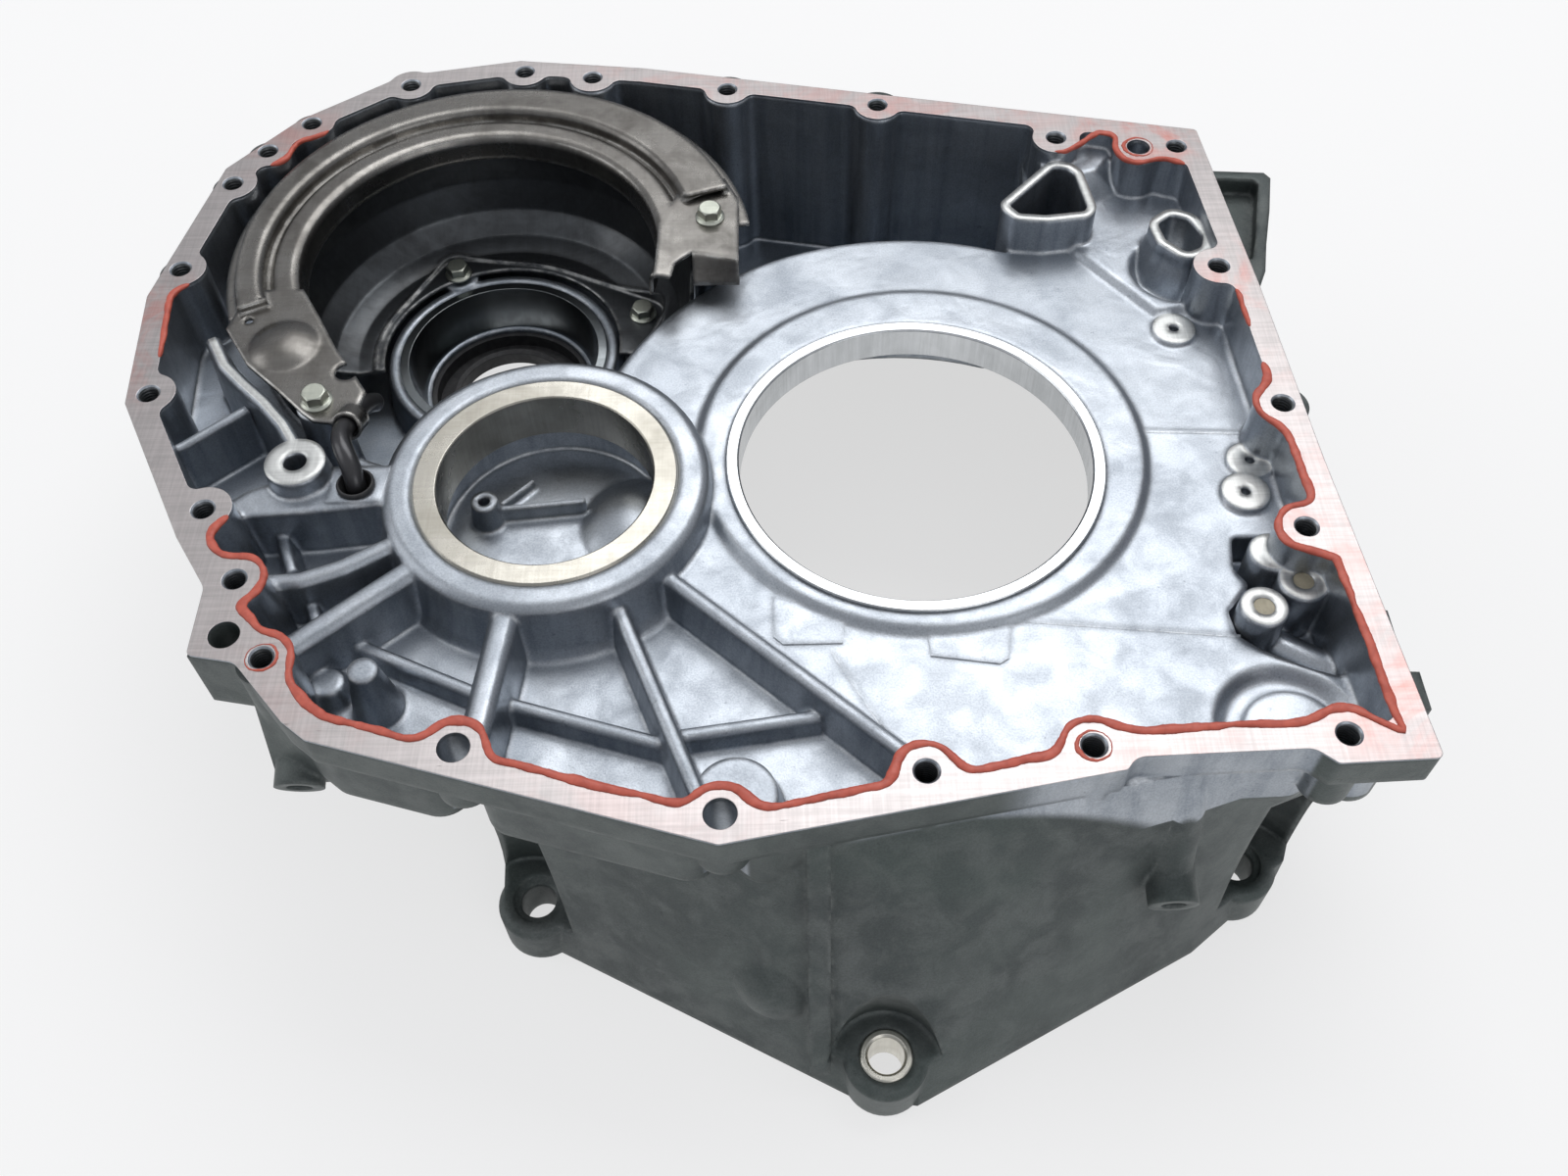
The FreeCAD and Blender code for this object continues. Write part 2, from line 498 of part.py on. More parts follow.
def outside_details():
    """Bosses, arm, lugs and stiffening ribs on the outside."""
    parts = [
        # square lug at the front left corner of the flange
        prism([(-227, -62), (-227, -87), (-212, -90), (-206, -72), (-214, -58)], -6.0, FLANGE_Z - 1),
        # block beside the back right corner
        prism([(118, 84), (136, 81), (140.5, 90), (144, 105), (149.5, 125), (154, 144.5), (152, 148),
               (112, 151.5)], -36.0, 2.0),
        # stepped lugs along the right wall
        prism([(122, 60), (140, 62), (139, 74), (122, 76)], -30.0, -4.0),
        prism([(122, -30), (146, -30), (146, -20), (122, -18)], -34.0, -6.0),
        prism([(122, -52), (149, -52), (148, -40), (122, -38)], -38.0, -8.0),
        prism([(122, -72), (152, -72), (152, -60), (122, -58)], -42.0, -10.0),
        prism([(122, -100), (156, -98), (156, -84), (122, -82)], -46.0, -10.0),
        # threaded boss low on the front wall with a half-round rib above it
        tilted_bar((74, -118, -40), (74, -146, -46), 8.0), tilted_bar((74, -121, 0), (74, -134, -42), 7.0),
        # threaded boss at the end of the arm on the front left
        tilted_bar((-203.5, -76, -20), (-203.5, -106, -30), 8.0),
        loft([(-212, -74), (-190, -78), (-195, -102), (-212, -102)], -34.0,
             [(-222, -66), (-150, -100), (-172, -121), (-212, -89)], 8.0),
        # wall crease and dome on the front of the bell
        rib_up((-38, -144), (-34, -180), 7.0), Part.makeSphere(18.0, V(-49, -151.0, -74)),
    ]
    for x, y in TAPPED:
        parts.append(cyl(x, y, EAR_R - 1.0, -8.0, FLANGE_Z - 2))
    for x, y in THROUGH:
        parts.append(cyl(x, y, EAR_R - 0.5, -1.0, FLANGE_Z - 2))
    # Stiffening ribs under the back of the tub and down the bell.
    for x0, y0, x1, y1 in [(-30, 168, -30, 190), (40, 160, 40, 182)]:
        parts.append(rib((x0, y0), (x1, y1), 6.0, ENGINE_Z + 4, -12.0, 0.5))
    return parts


def rib_up(top, bottom, width):
    """Upright rib whose foot stands further out than its top."""
    x0, x1 = top[0] - width / 2, top[0] + width / 2
    y_in = top[1] + 14
    rings = [[(x0, y_in), (x1, y_in), (x1, bottom[1] - 2), (x0, bottom[1] - 2)],
             [(x0, y_in), (x1, y_in), (x1, top[1] - 2), (x0, top[1] - 2)]]
    return loft(rings[0], ENGINE_Z + 12, rings[1], 4.0)


def build_casting():
    """The whole housing casting."""
    solid, mouth = build_shell()
    solid = add_floor_details(solid, mouth)
    solid = cut_bores(solid)
    # Blind threaded holes in the two outside bosses.
    solid = solid.cut([tilted_bar((74, -132, -43), (74, -150, -46.9), 4.0),
                       tilted_bar((-203.5, -90, -24.7), (-203.5, -112, -32), 4.2),
                       prism([(121, 97), (137, 97), (140.5, 108), (144.5, 125), (148.5, 141), (147, 144),
                              (121, 146)], -5.5, 4.0)])
    # Upstand with an oil jet in the layshaft cavity, two fine ribs and a smooth dome.
    well = cyl(LAY_X, LAY_Y, LAY_CAVITY_R, LAY_CAVITY_Z - 1, LAY_TOP)
    jet = fuse_all([
        cone(-151.0, -5.0, 6.0, 4.6, LAY_CAVITY_Z - 1, -10.0),
        rib((-148, -5), (-116, -2), 1.8, LAY_CAVITY_Z - 1, -14.0, 0.5),
        rib((-149, -3), (-136, 10), 1.2, LAY_CAVITY_Z - 1, -17.0, 0.5),
        Part.makeSphere(40.0, V(-97.0, -8.0, -55.0)),
    ]).common(well)
    solid = solid.fuse(jet)
    solid = solid.cut(cyl(-151.0, -5.0, 2.2, LAY_CAVITY_Z, 0.0))
    return max(solid.Solids, key=lambda s: s.Volume)


# ---------------------------------------------------------------- loose pieces
def build_sleeve():
    """Steel sleeve of the main bore."""
    return spun([(BORE_R, SLEEVE_BOTTOM), (SLEEVE_R, SLEEVE_BOTTOM), (SLEEVE_R, SLEEVE_TOP - 0.4),
                 (SLEEVE_R - 0.4, SLEEVE_TOP), (BORE_R + 0.6, SLEEVE_TOP), (BORE_R, SLEEVE_TOP - 0.6)], 0, 0)


def build_lay_race():
    """Layshaft bearing outer race."""
    z0, z1 = LAY_TOP - LAY_RACE_LENGTH, LAY_TOP
    return spun([(LAY_RACE_BORE, z0), (LAY_RACE_R - 0.8, z0), (LAY_RACE_R, z0 + 0.8),
                 (LAY_RACE_R, z1 - 0.8), (LAY_RACE_R - 0.8, z1), (LAY_RACE_BORE + 0.5, z1),
                 (LAY_RACE_BORE, z1 - 0.5)], LAY_X, LAY_Y)


def build_diff_race():
    """Differential bearing outer race with a tapered track."""
    z1 = DIFF_RIM_Z
    z0 = z1 - DIFF_RACE_LENGTH
    return spun([(DIFF_RACE_SMALL, z0), (DIFF_RACE_R, z0), (DIFF_RACE_R, z1 - 0.6), (DIFF_RACE_R - 0.6, z1),
                 (DIFF_RACE_BORE, z1)], DIFF_X, DIFF_Y)


def build_seal():
    """Axle oil seal below the differential bearing."""
    z1 = DIFF_RIM_Z - DIFF_RACE_LENGTH - 2.0
    z0 = z1 - SEAL_LENGTH
    return spun([(SEAL_R, z0), (SEAL_R, z1), (SEAL_R - 2, z1), (SEAL_R - 2, z0 + 2), (SEAL_BORE + 3, z0 + 2),
                 (SEAL_BORE + 2, z1 - 1), (SEAL_BORE, z1 - 2), (SEAL_BORE, z0 + 0.5), (SEAL_BORE + 0.5, z0)],
                DIFF_X, DIFF_Y)


def ring_arc(x, y, r0, r1, z0, z1, start, sweep):
    """Part of a flat ring."""
    return spun([(r0, z0), (r1, z0), (r1, z1), (r0, z1)], x, y, start, sweep)


def build_upper_baffle():
    """Pressed crescent over the edge of the final drive gear."""
    t, z = SHEET, BAFFLE_Z
    off_x, top = DIFF_X + BAFFLE_SHIFT, z + 3.0
    # Inner band with rolled edges: upper skin from the groove inwards, then the lower skin back.
    skin = [(82.0, top + t), (80.8, top + 1.1), (BAND_R - 0.2, z + 3.0), (79.2, z - 0.6), (78.2, z - 1.0),
            (77.2, z - 0.4), (76.4, z + 1.0), (75.2, z + t), (69.5, z + t), (67.4, z + 0.7), (66.4, z - 1.4),
            (66.0, z - 9.0)]
    under = [(67.5, z - 9.0), (67.9, z - 2.0), (68.8, z - 0.5), (70.2, z), (74.4, z), (75.0, z - 0.6),
             (76.0, z - 1.9), (77.4, z - 2.5), (79.2, z - 2.5), (80.6, z - 1.6), (81.3, z + 2.4), (82.0, top)]
    parts = [
        spun(skin + under, DIFF_X, DIFF_Y, 18.0, 182.0),
        # band on its own beyond the ends of the raised plate
        spun(skin[7:] + under[:5], DIFF_X, DIFF_Y, -14.0, 34.0),
        # raised plate, its outer step and the low rim
        ring_arc(off_x, DIFF_Y, 77.0, BAFFLE_R - 5.0, top, top + t, 18.0, 182.0).cut(
            cyl(DIFF_X, DIFF_Y, 81.9, top - 1, top + t + 1)),
        spun([(BAFFLE_R - 5.0, top + t), (BAFFLE_R - 6.5, top), (BAFFLE_R - 5.0, z - 2.5), (BAFFLE_R - 3.4, z - 1.0)],
             off_x, DIFF_Y, 18.0, 182.0),
        ring_arc(off_x, DIFF_Y, BAFFLE_R - 5.0, BAFFLE_R, z - 2.5, z - 1.0, 8.0, 192.0),
        # closed ends of the raised plate
        prism([(-81, 121), (-66, 129.5), (-67, 131), (-82, 122.5)], z, top + t),
        prism([(-232.2, 67.5), (-242, 63), (-242.5, 64.6), (-232.7, 69.1)], z, top + t),
        # bolt plate and turned-down flap at the right end
        prism([(-83, 129), (-66, 134), (-60.5, 121), (-60.5, 88), (-78, 92), (-92, 79), (-91, 108)], z, z + t),
        loft([(-60.5, 85), (-60.5, 83.4), (-78, 83.6), (-78, 85.2)], z - 8.0,
             [(-60.5, 88.2), (-60.5, 86.6), (-78, 90.6), (-78, 92.2)], z + t),
        # bolt plate at the left end
        prism([(-245.5, 56), (-234.5, 38), (-221, 24.8), (-211, 14.3), (-206.5, 10.5), (-200, 9.5), (-192, 15.5),
               (-190.5, 24), (-196, 33), (-204, 45), (-213, 62), (-221, 76), (-238, 76), (-243, 66)], z, z + t),
    ]
    sheet = fuse_all(parts)
    # Pressed swelling where the band runs into the left bolt plate.
    core = V(-223.0, 47.0, z - 20.0)
    swell = Part.makeSphere(25.0, core).cut(Part.makeSphere(25.0 - t, core))
    sheet = sheet.cut(Part.makeSphere(25.0 - t, core).common(cyl(core.x, core.y, 25.0, z - 3, z + 12)))
    sheet = sheet.fuse(swell.common(cyl(core.x, core.y, 30.0, z + t / 2, z + 12)))
    # Clip round the oil pipe.
    sheet = sheet.fuse(tilted_bar((-195.1, 9.0, 14.6), (-194.2, 16.0, 11.8), 5.3))
    sheet = sheet.cut(tilted_bar((-195.7, 4.0, 16.6), (-193.6, 21.0, 9.8), 4.0))
    cuts = [cyl(x, y, SCREW_R + 0.4, z - 5, z + 10) for x, y in SCREWS_TOP]
    cuts += [cyl(-198.5, 33.5, 4.2, z - 5, z + 10), cyl(-238.0, 60.0, 1.6, z - 5, z + 10)]
    cuts += [cyl(x, y, EAR_R + 1.4, z - 5, z + 10) for x, y in WALL_BUMPS]
    sheet = sheet.cut(cuts).common(raise_face(mouth_outline().makeOffset2D(-1.2, 0), z - 20, z + 20))
    return max(sheet.Solids, key=lambda s: s.Volume)


def hull(points):
    """Corners of the smallest convex outline round a set of points."""
    points = sorted(points)
    halves = []
    for run in (points, points[::-1]):
        half = []
        for x, y in run:
            while len(half) > 1 and ((half[-1][0] - half[-2][0]) * (y - half[-2][1])
                                     <= (half[-1][1] - half[-2][1]) * (x - half[-2][0])):
                half.pop()
            half.append((x, y))
        halves += half[:-1]
    return halves


def collar_outline():
    """Plan of the flat collar of the lower baffle: the bearing rim drawn out to the two screws."""
    points = []
    for x, y, r in [(DIFF_X, DIFF_Y, 50.5)] + [(sx, sy, 9.0) for sx, sy in SCREWS_LOW]:
        points += [(x + r * math.cos(math.radians(a)), y + r * math.sin(math.radians(a)))
                   for a in range(0, 360, 8)]
    return face(hull(points))


def build_bowl():
    """Dished lower baffle with a flat collar round the differential bearing."""
    t = SHEET
    outer = [(52.0, 0.0), (58.0, 0.4), (66.0, 3.5), (73.0, 11.0), (77.5, 24.0), (79.5, 44.0)]
    ring = [(r, BOWL_Z + t + h) for r, h in outer]
    ring += [(r + (t if h > 4 else 0.4), BOWL_Z + h) for r, h in reversed(outer)]
    start, sweep = -4.0, 196.0
    dish = spun(ring, DIFF_X, DIFF_Y, start, sweep)
    collar = collar_outline()
    under = [(0, BOWL_Z)] + [(r + 0.5, BOWL_Z + h + t + 0.9) for r, h in outer] + [(81.0, BOWL_Z)]
    below = spun([(0, BOWL_Z + t + 0.9)] + under[1:] + under[:1], DIFF_X, DIFF_Y, start, sweep)
    wall = raise_face(collar.makeOffset2D(t, 0).cut(collar), BOWL_Z, BOWL_Z + 14.0).common(below)
    plate = raise_face(collar, BOWL_Z, BOWL_Z + t).common(spun(
        [(47.6, BOWL_Z), (80.0, BOWL_Z), (80.0, BOWL_Z + t), (47.6, BOWL_Z + t)], DIFF_X, DIFF_Y, start, sweep))
    sheet = dish.cut(raise_face(collar, BOWL_Z - 1, BOWL_Z + 40.0)).fuse([wall, plate])
    sheet = sheet.cut([cyl(x, y, SCREW_R + 0.4, BOWL_Z - 5, BOWL_Z + 10) for x, y in SCREWS_LOW])
    return max(sheet.Solids, key=lambda s: s.Volume)


def build_screw(x, y, seat, length):
    """Small flanged hexagon screw."""
    across = SCREW_FLATS / math.sqrt(3.0)
    hexagon = [(x + across * math.cos(math.radians(60 * i + 10)), y + across * math.sin(math.radians(60 * i + 10)))
               for i in range(6)]
    head = prism(hexagon, seat + 1.0, seat + SCREW_HEAD)
    head = head.common(spun([(0, seat), (across + 1, seat), (across + 1, seat + SCREW_HEAD - 1.2),
                             (across - 0.9, seat + SCREW_HEAD), (0, seat + SCREW_HEAD)], x, y))
    collar = spun([(0, seat), (5.6, seat), (5.6, seat + 0.6), (4.6, seat + 1.3), (0, seat + 1.3)], x, y)
    shank = cyl(x, y, SCREW_R - FIT, seat - length, seat)
    return fuse_all([head, collar, shank]).removeSplitter()


def build_pipe():
    """Oil pipe from the baffle clip down into the shelf."""
    points = [V(PIPE_X, PIPE_Y, 4), V(PIPE_X, PIPE_Y, 7), V(PIPE_X, PIPE_Y, 10), V(-190.3, -10.5, 14.2),
              V(-193.5, -3.5, 17.2), V(-195.6, 5, 16.2), V(-194.6, 13, 13), V(-193.4, 23, 9), V(-191, 31, 3)]
    curve = Part.BSplineCurve()
    curve.interpolate(points)
    path = Part.Wire(curve.toShape())
    ring = Part.Wire(Part.makeCircle(PIPE_R, points[0], curve.tangent(curve.FirstParameter)[0]))
    return path.makePipeShell([ring], True, True)


def build_grommet():
    """Rubber collar that seals the pipe in the shelf."""
    seat = SHELF_Z + 1.0
    return spun([(PIPE_R + 0.2, 4.0), (5.0 - FIT, 4.0), (5.0 - FIT, seat), (6.4, seat), (6.4, seat + 1.2),
                 (6.0, seat + 1.8), (PIPE_R + 2.1, seat + 1.8), (PIPE_R + 0.2, 6.5)],
                PIPE_X, PIPE_Y)


def build_bush():
    """Hollow dowel bush in the front lug."""
    z0, z1 = ENGINE_Z + 3.0, LUG_Z + 0.8
    return spun([(BUSH_BORE, z0), (BUSH_R, z0), (BUSH_R, z1 - 0.5), (BUSH_R - 0.5, z1), (BUSH_BORE + 0.8, z1),
                 (BUSH_BORE, z1 - 0.8)], BUSH[0], BUSH[1])


def build_plug(x, y):
    """Soft plug pressed into a gallery post."""
    return cyl(x, y, PLUG_R, PLUG_BOTTOM, 7.6)


def build_sealant():
    """Old sealant squeezed over the inner edge of the flange, by region; none stands above the face."""
    mouth = mouth_outline()
    bead = raise_face(mouth.cut(mouth.makeOffset2D(-1.4, 0)), FLANGE_Z - 1.6, FLANGE_Z)
    regions = {
        "sealant_front": [(-232, -36), (-200, -20), (-60, -100), (118, -100), (104, -40), (110, 22), (150, 22),
                          (160, -150), (-66, -170), (-250, -110), (-250, -60)],
        "sealant_right": [(100, 34), (100, 66), (140, 66), (140, 34)],
        "sealant_back_right": [(78, 128), (90, 108), (130, 108), (130, 160), (78, 160)],
        "sealant_left": [(-280, 28), (-240, 28), (-240, 76), (-280, 76)],
        "sealant_back_left": [(-262, 118), (-238, 118), (-225, 160), (-262, 160)],
    }
    out = {}
    for name, points in regions.items():
        piece = bead.common(prism(points, FLANGE_Z - 3, FLANGE_Z + 3))
        out[name] = max(piece.Solids, key=lambda s: s.Volume)
    return out


def main():
    """Build every piece and write it out."""
    pieces = {
        "housing_casting": build_casting(),
        "main_bore_sleeve": build_sleeve(),
        "layshaft_race": build_lay_race(),
        "diff_race": build_diff_race(),
        "diff_oil_seal": build_seal(),
        "upper_baffle": build_upper_baffle(),
        "bowl_baffle": build_bowl(),
        "screw_upper_right": build_screw(*SCREWS_TOP[0], BAFFLE_Z + SHEET, 14.0),
        "screw_upper_left": build_screw(*SCREWS_TOP[1], BAFFLE_Z + SHEET, 14.0),
        "screw_bowl_back": build_screw(*SCREWS_LOW[0], BOWL_Z + SHEET, 11.0),
        "screw_bowl_right": build_screw(*SCREWS_LOW[1], BOWL_Z + SHEET, 11.0),
        "oil_pipe": build_pipe(),
        "pipe_grommet": build_grommet(),
        "dowel_bush": build_bush(),
        "gallery_plug_a": build_plug(*GALLERY[0]),
        "gallery_plug_b": build_plug(*GALLERY[1]),
    }
    pieces.update(build_sealant())
    for node, shape in pieces.items():
        if not shape.isValid() or len(shape.Solids) != 1:
            print("check", node, "valid", shape.isValid(), "solids", len(shape.Solids))
        shape.exportStep("parts/%s.step" % node)


main()
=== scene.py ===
"""Dresses the cast gearbox housing: finishes, old sealant, cut threads, studio and camera."""

import logging
import math
from dataclasses import dataclass, field
from enum import Enum

import bpy
import numpy as np
from mathutils import Matrix, Vector


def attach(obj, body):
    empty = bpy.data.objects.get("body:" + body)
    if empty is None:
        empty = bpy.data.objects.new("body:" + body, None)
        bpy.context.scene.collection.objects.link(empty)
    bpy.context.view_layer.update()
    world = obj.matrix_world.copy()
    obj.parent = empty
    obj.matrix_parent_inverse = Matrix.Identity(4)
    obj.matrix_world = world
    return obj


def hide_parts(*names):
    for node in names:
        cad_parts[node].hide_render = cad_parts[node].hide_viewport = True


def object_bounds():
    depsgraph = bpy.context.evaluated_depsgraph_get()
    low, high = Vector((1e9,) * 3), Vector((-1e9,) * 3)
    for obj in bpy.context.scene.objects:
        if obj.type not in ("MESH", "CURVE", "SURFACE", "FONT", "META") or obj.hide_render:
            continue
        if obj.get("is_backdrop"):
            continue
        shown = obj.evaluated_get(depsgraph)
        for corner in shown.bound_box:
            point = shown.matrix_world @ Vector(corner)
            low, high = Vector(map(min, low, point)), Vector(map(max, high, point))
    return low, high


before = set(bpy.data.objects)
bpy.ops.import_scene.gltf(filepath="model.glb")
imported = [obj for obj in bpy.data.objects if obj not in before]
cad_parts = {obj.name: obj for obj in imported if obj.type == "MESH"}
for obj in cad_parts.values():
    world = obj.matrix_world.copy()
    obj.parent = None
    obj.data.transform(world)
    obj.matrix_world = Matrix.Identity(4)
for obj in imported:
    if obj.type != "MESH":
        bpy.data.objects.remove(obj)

log = logging.getLogger("gearbox_housing")

MM = 0.001
Colour = tuple[float, float, float]
Socket = bpy.types.NodeSocket


# ---------------------------------------------------------------- shader building
class Graph:
    """Adds and joins the nodes of one shader tree."""

    def __init__(self, tree: bpy.types.NodeTree) -> None:
        """Keeps the tree.

        Args:
            tree: The node tree to write into.
        """
        self.tree = tree

    def plug(self, socket: Socket, value: object) -> None:
        """Joins a socket, or sets its plain value.

        Args:
            socket: The input.
            value: Another node's output, a number or a tuple.
        """
        if isinstance(value, bpy.types.NodeSocket):
            self.tree.links.new(value, socket)
        elif socket.type == "RGBA" and len(value) == 3:
            socket.default_value = (*value, 1.0)
        else:
            socket.default_value = value

    def add(self, kind: str, inputs: dict[object, object] | None = None, **props: object) -> bpy.types.Node:
        """Makes one node.

        Args:
            kind: The node's type name.
            inputs: Values or outputs for its inputs, by name or number.
            **props: Other settings of the node.

        Returns:
            The node.
        """
        node = self.tree.nodes.new(kind)
        for key, value in props.items():
            setattr(node, key, value)
        for key, value in (inputs or {}).items():
            self.plug(node.inputs[key], value)
        return node

    def math(self, op: str, a: object, b: object = 0.0, c: object = 0.0, clamp: bool = False) -> Socket:
        """One sum on numbers; see the node's own list for the operations.

        Args:
            op: Operation name.
            a: First number.
            b: Second number.
            c: Third number.
            clamp: Whether the result is held between 0 and 1.

        Returns:
            The result.
        """
        node = self.add("ShaderNodeMath", {0: a, 1: b, 2: c}, operation=op, use_clamp=clamp)
        return node.outputs[0]

    def ramp(self, value: object, low: float, high: float, first: float = 0.0, last: float = 1.0) -> Socket:
        """Smooth step from one value to another as the input goes from low to high.

        Args:
            value: The input.
            low: Input where the step starts.
            high: Input where the step ends.
            first: Output before the step.
            last: Output after the step.

        Returns:
            The stepped value.
        """
        if low > high:
            low, high, first, last = high, low, last, first
        keys = {"Value": value, "From Min": low, "From Max": high, "To Min": first, "To Max": last}
        return self.add("ShaderNodeMapRange", keys, interpolation_type="SMOOTHSTEP").outputs["Result"]

    def band(self, value: object, centre: float, half: float, soft: float) -> Socket:
        """1 where the input is within half of the centre, fading to 0 over the soft width.

        Args:
            value: The input.
            centre: Middle of the band.
            half: Half of its width.
            soft: Width of the fade.

        Returns:
            The mask.
        """
        away = self.math("ABSOLUTE", self.math("SUBTRACT", value, centre))
        return self.ramp(away, half, half + soft, 1.0, 0.0)

    def mix(self, factor: object, a: object, b: object, blend: str = "MIX") -> Socket:
        """Mixes two colours.

        Args:
            factor: Share of the second.
            a: First colour.
            b: Second colour.
            blend: Way of mixing.

        Returns:
            The colour.
        """
        node = self.add("ShaderNodeMix", {0: factor, 6: a, 7: b}, data_type="RGBA", blend_type=blend,
                        clamp_factor=True)
        return node.outputs[2]

    def lerp(self, factor: object, a: object, b: object) -> Socket:
        """Mixes two numbers.

        Args:
            factor: Share of the second.
            a: First number.
            b: Second number.

        Returns:
            The number.
        """
        return self.add("ShaderNodeMix", {0: factor, 2: a, 3: b}, data_type="FLOAT").outputs[0]

    def place(self) -> Socket:
        """Position on the object in metres."""
        return self.add("ShaderNodeTexCoord").outputs["Object"]

    def split(self, vector: Socket) -> tuple[Socket, Socket, Socket]:
        """The three numbers of a vector."""
        node = self.add("ShaderNodeSeparateXYZ", {0: vector})
        return node.outputs[0], node.outputs[1], node.outputs[2]

    def stretch(self, vector: Socket, scale: Colour, turn: Colour = (0.0, 0.0, 0.0)) -> Socket:
        """Scales and turns a pattern's coordinates.

        Args:
            vector: Coordinates.
            scale: Factor on each axis.
            turn: Turn about each axis in radians.

        Returns:
            The new coordinates.
        """
        keys = {"Vector": vector, "Scale": scale, "Rotation": turn}
        return self.add("ShaderNodeMapping", keys).outputs[0]

    def noise(self, vector: Socket, scale: float, detail: float = 3.0, rough: float = 0.5,
              warp: float = 0.0) -> Socket:
        """Cloudy pattern.

        Args:
            vector: Coordinates.
            scale: Clouds per metre.
            detail: Number of finer layers.
            rough: Weight of the finer layers.
            warp: How far the pattern is bent by itself.

        Returns:
            Value about 0.5.
        """
        keys = {"Vector": vector, "Scale": scale, "Detail": detail, "Roughness": rough, "Distortion": warp}
        return self.add("ShaderNodeTexNoise", keys).outputs[0]

    def normal_z(self) -> Socket:
        """Upward part of the surface's own direction."""
        return self.split(self.add("ShaderNodeNewGeometry").outputs["True Normal"])[2]


def group(name: str, inputs: dict[str, float], outputs: dict[str, str]) -> tuple[Graph, bpy.types.NodeTree,
                                                                               Socket, bpy.types.Node]:
    """Starts a shared shader effect.

    Args:
        name: Name of the effect.
        inputs: Its number inputs and their usual values.
        outputs: Its outputs and their socket types.

    Returns:
        The graph, the tree, the group's input node outputs and its output node.
    """
    tree = bpy.data.node_groups.new(name, "ShaderNodeTree")
    for key, value in inputs.items():
        tree.interface.new_socket(key, in_out="INPUT", socket_type="NodeSocketFloat").default_value = value
    for key, kind in outputs.items():
        tree.interface.new_socket(key, in_out="OUTPUT", socket_type=kind)
    return (Graph(tree), tree, tree.nodes.new("NodeGroupInput").outputs, tree.nodes.new("NodeGroupOutput"))


FLOAT, VECTOR = "NodeSocketFloat", "NodeSocketVector"


